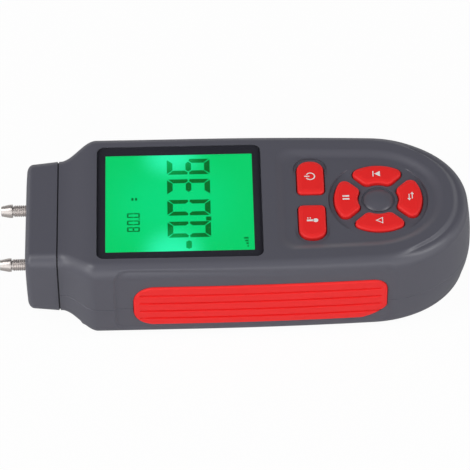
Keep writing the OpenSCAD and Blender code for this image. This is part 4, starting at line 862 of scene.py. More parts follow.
def grip_limits(x, margin=0):
    """Lower and upper end of the grip's outline at x."""
    x0, x1, z0, z1 = GRIP_X0 - margin, GRIP_X1 + margin, GRIP_Z0 - margin, GRIP_Z1 + margin
    low, high = z0, z1
    r = GRIP_R + margin
    if x < x0 + r:
        drop = r - math.sqrt(max(0, r**2 - (x0 + r - x) ** 2))
        low, high = low + drop, high - drop
    if x > x1 - SLANT_L:
        t = min(1, (x - x1 + SLANT_L) / SLANT_L)
        low += SLANT_H * (1 - (1 - t**SLANT_POWER) ** (1 / SLANT_POWER))
    if x > x1 - GRIP_TAIL_R:
        high -= GRIP_TAIL_R - math.sqrt(max(0, GRIP_TAIL_R**2 - (x - x1 + GRIP_TAIL_R) ** 2))
    return low, high


def edge_distance(x, z, step=0.02):
    """Distance of a point of the grip from its outline, from the slope of the outline there."""
    before, after = grip_limits(max(GRIP_X0, x - step)), grip_limits(min(GRIP_X1, x + step))
    low, high = grip_limits(x)
    low_way, high_way = (math.hypot(1, (b - a) / step / 2) for a, b in zip(before, after))
    return max(0, min(x - GRIP_X0, GRIP_X1 - x, (z - low) / low_way, (high - z) / high_way))


def wall_inset(x, z):
    """Inset of the case's wall at that height, without the scoop."""
    lean, end = TOP_LEAN, FACE_Z - SIDE_STEP - TOP_ROUND
    if z <= SEAM_Z:
        lean, end = BACK_LEAN, BACK_ROUND
    return lean * ((z - SEAM_Z) / (end - SEAM_Z)) ** 2


print("grip:", round(GRIP_X1 - GRIP_X0, 1), "by", round(GRIP_Z1 - GRIP_Z0, 1), "mm")

# %% Build the grips
GRIP_SINK, GRIP_EDGE, RIBS, POCKET_GAP = 2.1, 0.8, 5, 0.2
GROOVE_HALF, GROOVE_DEPTH, GROOVE_MARGIN, GROOVE_FADE = 0.55, 1.2, 2.5, 0.4
GRIP_ROWS, ROW_SHIFT = 150, 1 / 40
END_COLUMNS, END_RUN, COLUMN_STEP = 14, 3, 0.7
pitch = (GRIP_Z1 - GRIP_Z0) / RIBS
grooves = [GRIP_Z0 + pitch * i for i in range(1, RIBS)]


def groove_cut(x, z):
    """Depth of the nearest groove at a point of the grip; it fades out before the ends."""
    near = min(abs(z - g) for g in grooves) / GROOVE_HALF
    reach = min(x - GRIP_X0, GRIP_X1 - x) - GROOVE_MARGIN + GROOVE_FADE
    return GROOVE_DEPTH * (1 - min(1, near) ** 2) ** 2 * ease(reach / (2 * GROOVE_FADE))


def grip_skin(name, side):
    """Grip with a rounded edge, lengthwise grooves and a flat back."""
    ends = [END_RUN * (1 - math.cos(math.pi / 2 * i / END_COLUMNS)) for i in range(END_COLUMNS)]
    xs = [GRIP_X0 + e for e in ends] + spread(GRIP_X0 + END_RUN, GRIP_X1 - END_RUN, COLUMN_STEP)
    xs += [GRIP_X1 - e for e in reversed(ends)]
    points = []
    for x in xs:
        low, high = grip_limits(x)
        for j in range(GRIP_ROWS + 1):
            t = j / GRIP_ROWS
            shift = ROW_SHIFT * math.sin(4 * math.pi * t) if 0 < t < 1 else 0
            z = low + (high - low) * (t - shift)
            d = edge_distance(x, z)
            rolled = GRIP_EDGE - math.sqrt(GRIP_EDGE**2 - max(0, GRIP_EDGE - d) ** 2)
            inset = wall_inset(x, z) + rolled + groove_cut(x, z)
            points.append((x, side * (edge_y(x) - inset), z))
    rows, start = GRIP_ROWS + 1, len(points)
    faces = grid_faces(len(xs), rows)
    for x in xs:
        for z in grip_limits(x):
            points.append((x, side * (edge_y(x) - GRIP_SINK), z))
    for i in range(len(xs) - 1):
        a, b = start + i * 2, start + i * 2 + 2
        faces.append((a, b, b + 1, a + 1))
        faces.append((a, b, (i + 1) * rows, i * rows))
        faces.append((a + 1, b + 1, (i + 1) * rows + rows - 1, i * rows + rows - 1))
    for i, a in ((0, start), (len(xs) - 1, start + len(xs) * 2 - 2)):
        faces.append([i * rows + j for j in range(rows)] + [a + 1, a])
    return new_piece(name, points, faces)


def pocket_tool(side):
    """Solid that cuts the grip's pocket into the shells."""
    xs = spread(GRIP_X0 - POCKET_GAP, GRIP_X1 + POCKET_GAP, 0.5)
    low = [(x, grip_limits(x, POCKET_GAP)[0]) for x in xs]
    high = [(x, grip_limits(x, POCKET_GAP)[1]) for x in reversed(xs)]
    return through_rings("pocket_tool", [
        [(x, side * (edge_y(x) - inset), z) for x, z in low + high]
        for inset in (GRIP_SINK + POCKET_GAP, -CLEAR)
    ])


for node, side in (("left_grip", 1), ("right_grip", -1)):
    for shell in (front_skin, back_skin):
        cut(shell, pocket_tool(side))
    finish_piece(grip_skin(node + "_skin", side), grip_rubber, "housing", [node], 40)

# %% [markdown]
# ## The back of the case
#
# The back was not photographed. It gets what such a meter has: screw wells at the corners, and a
# bay for three cells under a door. The bay is a box that is joined on inside and then hollowed,
# as its walls are moulded with the shell.

# %% The battery bay
door_low, door_high = span("battery_door")
HINGE_X, HINGE_Z, KNUCKLE_R, KNUCKLE_Y, KNUCKLE_W = 67.1, 1.9, 1.2, 9, 6
BAY_WALL, BAY_Z, DOOR_SEAT, DOOR_GAP = 1.4, 13.4, 1.2, 0.3
BAY_X0, BAY_X1, BAY_Y = door_low.x + DOOR_SEAT, 63.7, door_high.y - DOOR_SEAT
DOOR_X1 = BAY_X1 + DOOR_SEAT
HINGE_BLOCK_X1, HINGE_BLOCK_Z, OVERLAP = HINGE_X + 2.4, 4.6, 0.2


def block(name, x0, x1, y0, y1, z0, z1):
    return prism(name, [(x0, y0), (x1, y0), (x1, y1), (x0, y1)], z0, z1)


join(back_skin, block(
    "bay_box", BAY_X0 - BAY_WALL, BAY_X1 + BAY_WALL, -BAY_Y - BAY_WALL, BAY_Y + BAY_WALL,
    FLOOR - OVERLAP, BAY_Z + BAY_WALL,
))
for y in (-KNUCKLE_Y, KNUCKLE_Y):
    half = KNUCKLE_W / 2 + BAY_WALL
    join(back_skin, block(
        "hinge_block", BAY_X1 + 0.1, HINGE_BLOCK_X1, y - half, y + half,
        FLOOR - OVERLAP, HINGE_BLOCK_Z,
    ))
cut(back_skin, block("bay_tool", BAY_X0, BAY_X1, -BAY_Y, BAY_Y, -1, BAY_Z))
print("bay:", [round(v, 1) for v in (BAY_X1 - BAY_X0, 2 * BAY_Y, BAY_Z)], "mm")

# %% [markdown]
# The door lies in a seat that is a little larger than itself. A thumb notch at its head end and a
# relief at its hinge are cut as well, as both are open to the hand.

# %% The seat of the door
SEAT_R, SEAT_Z = 0.6, 2.1
NOTCH_R, NOTCH_DEEP, NOTCH_HALF_W = 6, 0.9, 6
HINGE_RELIEF_H, HINGE_RELIEF_SHARE, KNUCKLE_GAP = 1, 0.75, 0.06
cut(back_skin, prism("door_seat_tool", rounded(
    door_low.x - DOOR_GAP, DOOR_X1 + DOOR_GAP, door_low.y - DOOR_GAP, door_high.y + DOOR_GAP,
    SEAT_R, SEAT_R, 4,
), -1, SEAT_Z))
circle = arc((door_low.x, NOTCH_DEEP - NOTCH_R), NOTCH_R, 0, 355, 71)
cut(back_skin, through_rings("notch_tool", [
    [(x, y, z) for x, z in circle] for y in (-NOTCH_HALF_W, NOTCH_HALF_W)
]))
cut(back_skin, block(
    "hinge_relief_tool", DOOR_X1, HINGE_X - KNUCKLE_R * HINGE_RELIEF_SHARE,
    door_low.y - DOOR_GAP, door_high.y + DOOR_GAP, -1, HINGE_RELIEF_H,
))
for y in (-KNUCKLE_Y, KNUCKLE_Y):
    r, half = KNUCKLE_R + KNUCKLE_GAP, KNUCKLE_W / 2 + DOOR_GAP
    cut(back_skin, block("knuckle_tool", BAY_X1, HINGE_X + r, y - half, y + half, -1, HINGE_Z + r))
print("door gap:", DOOR_GAP, "mm")

# %% [markdown]
# Four case screws sit deep in wells with a small chamfer at the mouth. Each well ends in a round
# boss that stands up to the front shell. The two screws of the cap come in from under the neck.
# Dark discs on the surface could stand for all six. Real wells, cut with the lathe helper, show
# their depth and the screw heads inside.

# %% Screw wells
WELL_R, WELL_Z, WELL_MOUTH, SHANK_R, BOSS_R = 2.9, 6, 0.4, 1.7, 3.45
CASE_SCREWS = ((-56.8, 27.4), (70.5, 17))
CAP_SCREW_X, CAP_SCREW_Y, CAP_WELL_R, CAP_SHANK_R = NECK_X + 2.4, 19, 2.2, 1.2
well_profile = [(WELL_R + WELL_MOUTH, -1), (WELL_R + WELL_MOUTH, 0), (WELL_R, WELL_MOUTH)]
well_profile += [(WELL_R, WELL_Z)]


def well(tool, profile, x, y, steps=48):
    return turned(tool, profile, (x, y, 0), "Z", steps)


for side in (1, -1):
    for x, y in CASE_SCREWS:
        boss = [(BOSS_R, FLOOR - OVERLAP), (BOSS_R, SEAM_Z - 0.2)]
        shank = [(SHANK_R, WELL_Z - 1), (SHANK_R, SEAM_Z + 1)]
        join(back_skin, well("well_boss", boss, x, side * y))
        cut(back_skin, well("well_tool", well_profile, x, side * y))
        cut(back_skin, well("shank_tool", shank, x, side * y, 32))
for y in (CAP_SCREW_Y, -CAP_SCREW_Y):
    profile = [(CAP_WELL_R, 1), (CAP_WELL_R, NECK_LOW_Z + 1.3)]
    shank = [(CAP_SHANK_R, 2), (CAP_SHANK_R, NECK_LOW_Z + 4)]
    cut(back_skin, well("cap_well_tool", profile, CAP_SCREW_X, y))
    cut(back_skin, well("cap_shank_tool", shank, CAP_SCREW_X, y, 32))
finish_piece(front_skin, case_abs, "housing", ["front_shell"])
finish_piece(back_skin, case_abs, "housing", ["back_shell"])

# %% [markdown]
# ## The head cap
#
# The cap that holds the barbs is a separate moulding. Its section is the neck's own, and its
# front edge rolls over into a slightly crowned end. A bevelled cube would not match the neck. The
# cap is made from the neck's section, repeated along X and drawn in towards the front.

# %% The section of the neck
NECK_MID_Z = (NECK_TOP_Z + NECK_LOW_Z) / 2
NECK_HALF_H = (NECK_TOP_Z - NECK_LOW_Z) / 2

neck = side_station(NECK_X)
upper = wall_profile(neck, 1, ((0, 0),))
lower = wall_profile(neck, -1, ((0, 0),))
right = [(neck[1] - row[0], row[1]) for row in [*reversed(upper), *lower[1:]]]
neck_section = right + [(-y, z) for y, z in reversed(right)]


def cap_ring(x, inset):
    """Section of the neck at x, drawn in by inset on all sides."""
    across, up = 1 - inset / (NECK_W / 2), 1 - inset / NECK_HALF_H
    return [(x, y * across, NECK_MID_Z + (z - NECK_MID_Z) * up) for y, z in neck_section]


print("neck section:", len(neck_section), "points")

# %% Build the head cap
CAP_SEAM_X = span("head_gasket")[0].x
CAP_FRONT_X = span("head_cap")[0].x
CAP_TAPER, CAP_ROUND, CAP_CROWN, CAP_CROWN_RUN = 0.7, 2.6, 0.5, 7
CAP_LIP = ((0, 0.25), (0.1, 0.07), (0.25, 0))
TAPER_ROWS, CAP_ROWS, CROWN_STEPS, PORT_R = 5, 14, 5, 2.55
CAP_RIM_X = CAP_FRONT_X + CAP_CROWN
round_x = CAP_RIM_X + CAP_ROUND

cap_rings = [cap_ring(CAP_SEAM_X - x, inset) for x, inset in CAP_LIP]
for i in range(1, TAPER_ROWS):
    t = i / TAPER_ROWS
    cap_rings.append(cap_ring(CAP_SEAM_X + (round_x - CAP_SEAM_X) * t, CAP_TAPER * t))
for i in range(CAP_ROWS + 1):
    a = math.radians(90 * i / CAP_ROWS)
    inset = CAP_TAPER + CAP_ROUND * (1 - math.cos(a))
    cap_rings.append(cap_ring(round_x - CAP_ROUND * math.sin(a), inset))
for i in range(1, CROWN_STEPS + 1):
    t = i / CROWN_STEPS
    inset = CAP_TAPER + CAP_ROUND + CAP_CROWN_RUN * t
    cap_rings.append(cap_ring(CAP_RIM_X - CAP_CROWN * (1 - (1 - t) ** 2), inset))
cap_skin = through_rings("head_cap_skin", cap_rings)
barb_low, barb_high = span("high_port_barb")
BARB_Y, BARB_Z = (barb_low.y + barb_high.y) / 2, (barb_low.z + barb_high.z) / 2
port_profile = [(PORT_R, CAP_FRONT_X - 1), (PORT_R, CAP_SEAM_X + 1)]
for side in (1, -1):
    cut(cap_skin, turned("port_tool", port_profile, (0, side * BARB_Y, BARB_Z), "X", 64))
finish_piece(cap_skin, case_abs, "housing", ["head_cap"])

# %% [markdown]
# ## The hose barbs
#
# A barb is turned on a lathe: a tapered head that ends in a sharp crest, an undercut behind it, a
# neck, then a thread into the cap. A screw modifier could cut a true helix. Round grooves at the
# thread's pitch look the same at this size and keep the piece simple.

# %% Turn the barbs
BORE_R, NOSE_R, CREST_R, NECK_R = 1, 1.75, 2.6, 2.05
ROOT_R, THREAD_R, SHAFT_R, SPIGOT_R = 2.05, 2.25, 2.45, 1.4
CREST_START, CREST_END, UNDERCUT_END, THREAD_START, THREAD_PITCH = 3.4, 4.35, 4.75, 5.2, 0.75
SPIGOT_L = 4.6
cap_at, barb_l = CAP_FRONT_X - barb_low.x, barb_high.x - barb_low.x
# Radius and distance from the tip, in mm.
barb_profile = [
    (BORE_R, 0), (NOSE_R, 0), (NOSE_R + 0.2, 0.12), (CREST_R, CREST_START), (CREST_R, CREST_END),
    (CREST_R - 0.1, CREST_END + 0.09), (NOSE_R, CREST_END + 0.11), (NOSE_R, UNDERCUT_END),
    (NECK_R, UNDERCUT_END + 0.05), (NECK_R, THREAD_START),
]
for i in range(math.ceil((cap_at - THREAD_START) / THREAD_PITCH)):
    at = THREAD_START + THREAD_PITCH * i
    barb_profile += [(ROOT_R, at), (THREAD_R, at + 0.2), (THREAD_R, at + 0.4), (ROOT_R, at + 0.6)]
barb_profile += [(SHAFT_R, cap_at + 1), (SHAFT_R, barb_l - SPIGOT_L)]
barb_profile += [(SPIGOT_R, barb_l - SPIGOT_L), (SPIGOT_R, barb_l), (BORE_R, barb_l)]
bore_profile = [(BORE_R - 0.01, barb_low.x - 1), (BORE_R - 0.01, barb_high.x + 1)]
for node, side in (("high_port_barb", 1), ("low_port_barb", -1)):
    tip = (barb_low.x, side * BARB_Y, BARB_Z)
    barb = turned(node + "_skin", barb_profile, tip, "X", 64)
    cut(barb, turned("bore_tool", bore_profile, (0, side * BARB_Y, BARB_Z), "X", 40))
    finish_piece(barb, nickel, "housing", [node], 25)

# %% [markdown]
# ## The window
#
# The window is cast acrylic with its corners rounded and a fine chamfer around its top. Its dark
# border is printed on the back, and is the separate mask underneath. Glass could be faked with a
# glossy coat over the display. Real acrylic that light passes through shows the mask and the
# display at their true depth. In Cycles a clear solid throws a dark shadow, so light that only
# asks about shadow passes straight through it.

# %% Build the window
WINDOW_CHAMFER, CHAMFER_SHARE = 0.25, 0.3


def window_ring(shrink, drop):
    """Outline of the window, drawn in by shrink, at a drop below its top."""
    outline = grown_box(window_low, window_high, -shrink, WINDOW_R - shrink)
    return [(x, y, window_high.z - drop) for x, y in outline]


window_skin = through_rings("display_window_skin", [
    window_ring(0, window_high.z - window_low.z), window_ring(0, WINDOW_CHAMFER),
    window_ring(WINDOW_CHAMFER * CHAMFER_SHARE, WINDOW_CHAMFER * CHAMFER_SHARE),
    window_ring(WINDOW_CHAMFER, 0),
])
acrylic, tree, output = new_material("cast_acrylic_window")
clear = add_node(tree, "ShaderNodeBsdfPrincipled", {
    "Base Color": (1, 1, 1, 1), "Roughness": 0.04, "IOR": 1.49, "Transmission Weight": 1.0,
})
path = add_node(tree, "ShaderNodeLightPath")
gone = add_node(tree, "ShaderNodeBsdfTransparent")
mixed = add_node(tree, "ShaderNodeMixShader", {}, {
    0: path.outputs["Is Shadow Ray"], 1: clear.outputs["BSDF"], 2: gone.outputs["BSDF"],
})
tree.links.new(mixed.outputs["Shader"], output.inputs["Surface"])
finish_piece(window_skin, acrylic, "housing", ["display_window"])

# %% [markdown]
# ## The display
#
# The display is a liquid crystal cell over a light guide. Two green lamps feed the guide from its
# long sides, so the green is brightest beside them and a little darker at the ends. A flat green
# would look like paper. The cell's finish glows instead, and its colour follows the distance to
# each lamp, which is plain arithmetic on the piece's own coordinates.

# %% The lit display
lamp_low, lamp_high = span("backlight_lamps")
LAMP_X = (lamp_low.x + lamp_high.x) / 2
VIEW_HALF_W = 24.7
SPOT_REACH, SPOT_CORE = 17, 1
LOSS_START, LOSS_END = 6, 34
# The colours of a Mix node are its sockets 6, 7 and 2, after those for numbers and vectors.
MIX_A, MIX_B, MIX_COLOUR = 6, 7, 2


def distance_share(tree, y, start, end, blend):
    """0 at the first distance in mm from a place on the lamps' line, and 1 at the second."""
    place = add_node(tree, "ShaderNodeTexCoord").outputs["Object"]
    centre = (LAMP_X * MM, y * MM, glass_high.z * MM)
    gap = add_node(tree, "ShaderNodeVectorMath", {"operation": "DISTANCE", 1: centre}, {0: place})
    return add_node(tree, "ShaderNodeMapRange", {
        "interpolation_type": blend, "From Min": start * MM, "From Max": end * MM,
    }, {"Value": gap.outputs["Value"]}).outputs["Result"]


def lamp_spots(tree):
    """Nearness to the nearer of the two lamps."""
    left, right = (
        distance_share(tree, side * VIEW_HALF_W, SPOT_REACH, SPOT_CORE, "SMOOTHERSTEP")
        for side in (1, -1)
    )
    spots = add_node(tree, "ShaderNodeMath", {"operation": "MAXIMUM"}, {0: left, 1: right})
    return spots.outputs["Value"]


def lit_green(tree):
    """Green that dims towards the ends of the cell and brightens at the lamps."""
    loss = distance_share(tree, 0, LOSS_START, LOSS_END, "SMOOTHSTEP")
    green = add_node(tree, "ShaderNodeMix", {
        "data_type": "RGBA", MIX_A: linear("#00e080"), MIX_B: linear("#00d66e"),
    }, {0: loss})
    return add_node(tree, "ShaderNodeMix", {"data_type": "RGBA", MIX_B: linear("#2cffb4")}, {
        0: lamp_spots(tree), MIX_A: green.outputs[MIX_COLOUR],
    }).outputs[MIX_COLOUR]


def glowing_cell(name, colour_of):
    """Glossy finish of the cell, which glows in the colour that colour_of gives."""
    material, tree, output = new_material(name)
    cell = add_node(tree, "ShaderNodeBsdfPrincipled", {
        "Base Color": linear("#020a06"), "Roughness": 0.15, "IOR": 1.5, "Emission Strength": 1.0,
    }, {"Emission Color": colour_of(tree)})
    tree.links.new(cell.outputs["BSDF"], output.inputs["Surface"])
    return material


lit = glowing_cell("backlit_liquid_crystal", lit_green)
print("lamps at x =", round(LAMP_X, 1))

# %% [markdown]
# ### The reading
#
# The digits are segments of dark liquid crystal, cut at 45 degrees where they meet. They are
# plain numbers, with small generic marks in place of the unit. A text object would give the
# shapes of a printed font. Segments are built as flat polygons instead, just above the cell, in
# a box for each digit with u along the line of digits and v towards its top, which is the head.

# %% Segments of one digit
SEGMENTS = {"0": "ABCDEF", "3": "ABCDG", "6": "ACDEFG", "8": "ABCDEFG"}


def digit_polygons(symbol, width, height, bar, post, gap):
    """Polygons (u, v) of one seven-segment digit: bar and post are the segments' widths."""
    half, near = height / 2, gap * 0.4
    top = [
        (gap, height), (width - gap, height),
        (width - post - near, height - bar), (post + near, height - bar),
    ]
    upper_left = [
        (0, height - gap), (0, half + gap), (post / 2, half + gap * 0.5),
        (post, half + bar / 2 + gap * 0.6), (post, height - bar - near),
    ]
    middle = [
        (post / 2 + gap, half), (post + gap, half + bar / 2),
        (width - post - gap, half + bar / 2), (width - post / 2 - gap, half),
        (width - post - gap, half - bar / 2), (post + gap, half - bar / 2),
    ]

    def mirrored(points, across, over):
        return [(width - u if across else u, height - v if over else v) for u, v in points]

    shapes = {
        "A": top, "D": mirrored(top, False, True), "G": middle,
        "F": upper_left, "B": mirrored(upper_left, True, False),
        "E": mirrored(upper_left, False, True), "C": mirrored(upper_left, True, True),
    }
    return [shapes[key] for key in SEGMENTS[symbol]]


print("segments of an 8:", len(digit_polygons("8", 8, 16.5, 2, 2, 0.4)))


# %% Flat marks
MARK_T = 0.04


def bar_polygon(u0, u1, v0, v1):
    return [(u0, v0), (u1, v0), (u1, v1), (u0, v1)]


def flat_marks(name, polygons, corner, z):
    """Thin marks from polygons (u, v): u runs along +Y and v along -X from the corner."""
    points, faces = [], []
    for polygon in polygons:
        start, count = len(points), len(polygon)
        for level in (z, z + MARK_T):
            points += [(corner[0] - v, corner[1] + u, level) for u, v in polygon]
        faces.append(list(range(start, start + count)))
        faces.append(list(range(start + count, start + count * 2)))
        for i in range(count):
            j = (i + 1) % count
            faces.append((start + i, start + j, start + count + j, start + count + i))
    return new_piece(name, points, faces)


print("marks are", MARK_T, "mm thick")

# %% [markdown]
# Here u is measured from the middle line of the case and v from the middle of its length, so a
# mark's place is simply its place on the display. The large digits show the pressure, the small
# ones the temperature, and four bars of growing length stand where the unit is.

# %% The large and the small digits
DIGIT_V, DIGIT_H, DIGIT_BARS = 9.4, 16.5, (2.15, 2.0, 0.42)
DIGITS = (("0", -17.6, 8.0), ("0", -6.5, 8.0), ("3", 4.1, 8.0), ("6", 14.6, 8.0))
SMALL_V, SMALL_H, SMALL_BARS = 36.4, 4.9, (0.6, 0.5, 0.1)
SMALL_DIGITS = (("8", -14.3, 2.3), ("0", -10.9, 2.3), ("0", -7.2, 2.3))

reading = []
for digits, base, height, bars in (
    (DIGITS, DIGIT_V, DIGIT_H, DIGIT_BARS), (SMALL_DIGITS, SMALL_V, SMALL_H, SMALL_BARS),
):
    for symbol, place, width in digits:
        for polygon in digit_polygons(symbol, width, height, *bars):
            reading.append([(u + place, v + base) for u, v in polygon])
print("segments:", len(reading))

# %% The points and the unit marks
MINUS_SIGN = [
    (-23.4, 17.8), (-22.8, 18.9), (-19.8, 18.9), (-19.2, 17.8), (-19.8, 16.8), (-22.8, 16.8),
]
POINTS = ((-9.35, -7.3, 9.2, 11.2), (-8.1, -7.6, 36.4, 36.9))
DEGREE_MARKS = ((1.6, 2.9, 37.4, 38.2), (1.6, 2.9, 38.8, 39.6))
UNIT_BARS, UNIT_U, UNIT_V = 4, -22.9, -4.7
UNIT_PITCH, UNIT_W, UNIT_H, UNIT_GROWTH = 1.35, 0.7, 0.5, 0.4
reading += [MINUS_SIGN, *(bar_polygon(*mark) for mark in POINTS + DEGREE_MARKS)]
for i in range(UNIT_BARS):
    u = UNIT_U + UNIT_PITCH * i
    reading.append(bar_polygon(u, u + UNIT_W, UNIT_V, UNIT_V + UNIT_H + UNIT_GROWTH * i))


def dark_green(tree):
    """Green that shows through the dark segments, more so at the lamps."""
    return add_node(tree, "ShaderNodeMix", {
        "data_type": "RGBA", MIX_A: linear("#006e28"), MIX_B: linear("#00b45a"),
    }, {0: lamp_spots(tree)}).outputs[MIX_COLOUR]


ink = glowing_cell("dark_liquid_crystal", dark_green)
segments = flat_marks("display_segments", reading, (0, 0), glass_high.z + 0.01)
finish_piece(segments, ink, "housing")

# %% [markdown]
# ## Marks on the keys
#
# The real keys carry white printed words. Here each key has a plain symbol for its job instead,
# pad printed in white: a power sign, a thermometer, two bars for hold, a triangle under a bar for
# the highest value, two arrows for units, and an open triangle for the difference. They are thin
# solids just above the keys, so that they move with them.

# %% Shapes of the symbols
def ring_polygons(centre, outer, inner, start, end, steps=24):
    """Ring sector as a row of quads."""
    far, near = (arc(centre, r, start, end, steps) for r in (outer, inner))
    return [[near[i], far[i], far[i + 1], near[i + 1]] for i in range(steps)]


SYMBOLS = {
    "power_key": [
        *ring_polygons((0, 0), 1.9, 1.45, 120, 420), bar_polygon(-0.25, 0.25, 0.3, 2.3),
    ],
    "temperature_key": [
        *ring_polygons((0, -1.3), 0.95, 0, 0, 360), bar_polygon(-0.42, 0.42, -0.6, 2.1),
        bar_polygon(0.8, 1.5, 1.5, 1.85), bar_polygon(0.8, 1.5, 0.6, 0.95),
    ],
    "hold_key": [bar_polygon(-1.1, -0.4, -1.3, 1.3), bar_polygon(0.4, 1.1, -1.3, 1.3)],
    "max_key": [[(-1.4, -1.2), (1.4, -1.2), (0, 1)], bar_polygon(-1.4, 1.4, 1.25, 1.65)],
    "units_key": [
        [(-2.1, 0.6), (-1.1, 1.3), (-1.1, -0.1)], bar_polygon(-1.1, 1.2, 0.42, 0.78),
        [(2.1, -0.6), (1.1, -1.3), (1.1, 0.1)], bar_polygon(-1.2, 1.1, -0.78, -0.42),
    ],
    "difference_key": [
        [(-1.6, -1.2), (1.6, -1.2), (1.1, -0.85), (-1.1, -0.85)],
        [(-1.6, -1.2), (-1.1, -0.85), (0, 0.9), (0, 1.6)],
        [(1.6, -1.2), (0, 1.6), (0, 0.9), (1.1, -0.85)],
    ],
}
print("symbols:", ", ".join(SYMBOLS))


# %% Print the symbols
def smooth_sheet(name, colour, roughness, ior=1.5, glow=0):
    """Plain ink, sheet or film with an even surface; glow is the strength of its own light."""
    material, tree, output = new_material(name)
    skin = add_node(tree, "ShaderNodeBsdfPrincipled", {
        "Base Color": linear(colour), "Roughness": roughness, "IOR": ior,
        "Emission Color": linear(colour), "Emission Strength": glow,
    })
    tree.links.new(skin.outputs["BSDF"], output.inputs["Surface"])
    return material


white_ink = smooth_sheet("pad_printed_white_ink", "#f2f0ee", 0.45)
RING_MIDDLE = (PAD_R + PAD_INNER_R) / 2
MARK_PLACES = {"units_key": (PAD_X + RING_MIDDLE, 0), "hold_key": (PAD_X - RING_MIDDLE, 0)}
for node, polygons in SYMBOLS.items():
    low, high = span(node)
    middle = MARK_PLACES.get(node, ((low.x + high.x) / 2, (low.y + high.y) / 2))
    mark = flat_marks(node + "_symbol", polygons, middle, FACE_Z)
    finish_piece(mark, white_ink, node)

# %% [markdown]
# ## The battery door
#
# The door is a thin ABS plate with rounded edges, grooves that grip the thumb, ribs that hold the
# cells down, two latch tongues and two hinge knuckles. It could be one box with the marks drawn on
# it. The pieces are built and joined instead, because the open door shows its inside too. It rides
# on its own body, so it swings open in the poses.

# %% The plate of the door
DOOR_Z0, DOOR_T, DOOR_R = door_low.z, 2, 0.8
DOOR_Z1 = DOOR_Z0 + DOOR_T
EDGE_ROWS = ((0.5, 0), (0.15, 0.15), (0, 0.5), (0, DOOR_T))
RIDGES, RIDGE_START, RIDGE_PITCH, RIDGE_HALF_W = 6, 4, 1.6, 7
RIDGE_ROWS = ((0.55, -0.2), (0.2, 0.4))
plate_rings = []
for shrink, rise in EDGE_ROWS:
    r = DOOR_R - shrink / 2
    plate_rings.append([(x, y, DOOR_Z0 + rise) for x, y in rounded(
        door_low.x + shrink, DOOR_X1 - shrink, door_low.y + shrink, door_high.y - shrink, r, r, 6
    )])
door = through_rings("battery_door_skin", plate_rings)
for i in range(RIDGES):
    x = door_low.x + RIDGE_START + RIDGE_PITCH * i
    cut(door, through_rings("ridge_tool", [
        [(u, v, DOOR_Z0 + rise) for u, v in bar_polygon(x - w, x + w, -RIDGE_HALF_W, RIDGE_HALF_W)]
        for w, rise in RIDGE_ROWS
    ]))
print("door:", [round(v, 1) for v in (DOOR_X1 - door_low.x, 2 * door_high.y, DOOR_T)], "mm")

# %% Ribs, latch and hinge of the door
RIB_SHARES, RIB_HALF_W, RIB_H = (0.22, 0.5, 0.78), 0.6, 0.4
TONGUE_Y, TONGUE_HALF_W, TONGUE_T, TONGUE_H = 5.6, 1, 1, 3
for share in RIB_SHARES:
    x = BAY_X0 + (BAY_X1 - BAY_X0) * share
    join(door, block(
        "cell_rib", x - RIB_HALF_W, x + RIB_HALF_W, -BAY_Y + DOOR_GAP, BAY_Y - DOOR_GAP,
        DOOR_Z1 - OVERLAP, DOOR_Z1 + RIB_H,
    ))
circle = arc((HINGE_X, HINGE_Z), KNUCKLE_R, 0, 350, 35)
for side in (-1, 1):
    y = side * TONGUE_Y
    join(door, block(
        "latch_tongue", BAY_X0 + 0.2, BAY_X0 + 0.2 + TONGUE_T, y - TONGUE_HALF_W,
        y + TONGUE_HALF_W, DOOR_Z1 - OVERLAP, DOOR_Z1 + TONGUE_H,
    ))
    ends = [side * KNUCKLE_Y + w * KNUCKLE_W / 2 for w in (-1, 1)]
    join(door, block(
        "knuckle_arm", DOOR_X1 - OVERLAP, HINGE_X, *ends,
        HINGE_Z - KNUCKLE_R / 2, HINGE_Z + KNUCKLE_R / 2,
    ))
    join(door, through_rings("knuckle", [[(x, y, z) for x, z in circle] for y in ends]))
finish_piece(door, case_abs, "battery_door", ["battery_door"])

# %% [markdown]
# ## The pieces inside
#
# The works keep their CAD solids, as little of them is ever seen, and each gets the finish of its
# real material. The circuit board is glass fibre and epoxy under a green solder mask. A weave
# could be drawn on it, but the mask hides the weave, so the board is a plain glossy green. The
# window's frame is a printed film, and the lamps glow a little, as they would.

# %% Finishes of the inner pieces
def coat(material, nodes):
    """Gives CAD solids their finish."""
    for node in nodes:
        solid = frame["nodes"][node]
        solid.data.materials.clear()
        solid.data.materials.append(material)


INNER_FINISHES = {
    gasket_rubber: ["head_gasket"],
    smooth_sheet("printed_black_film", "#3c3c45", 0.15): ["window_mask"],
    lit: ["display_glass"],
    white_plastic: ["display_frame"],
    smooth_sheet("moulded_acrylic_guide", "#c8ffd8", 0.15, 1.49, 0.3): ["light_guide"],
    smooth_sheet("led_phosphor", "#e8ffe8", 0.3, 1.5, 0.5): ["backlight_lamps"],
    strip_rubber: ["connector_strip"],
    smooth_sheet("solder_mask_green", "#1d6b3a", 0.25): ["main_board"],
    chip_epoxy: ["microcontroller", "signal_amplifier", "pressure_sensor", "capacitors"],
    tube_silicone: ["high_port_tube", "low_port_tube"],
    fibre: ["port_washers"],
    nickel: ["port_nuts", "battery_plates"],
    mat_rubber: ["keypad_mat"],
    cell_sleeve: ["batteries"],
    spring_steel: ["battery_springs"],
    red_pvc: ["red_lead"],
    black_pvc: ["black_lead"],
    screw_zinc: ["case_screws", "board_screws", "cap_screws"],
}
for material, nodes in INNER_FINISHES.items():
    coat(material, nodes)
    for node in nodes:
        level_shading(frame["nodes"][node])
print("inner pieces finished:", sum(len(nodes) for nodes in INNER_FINISHES.values()))

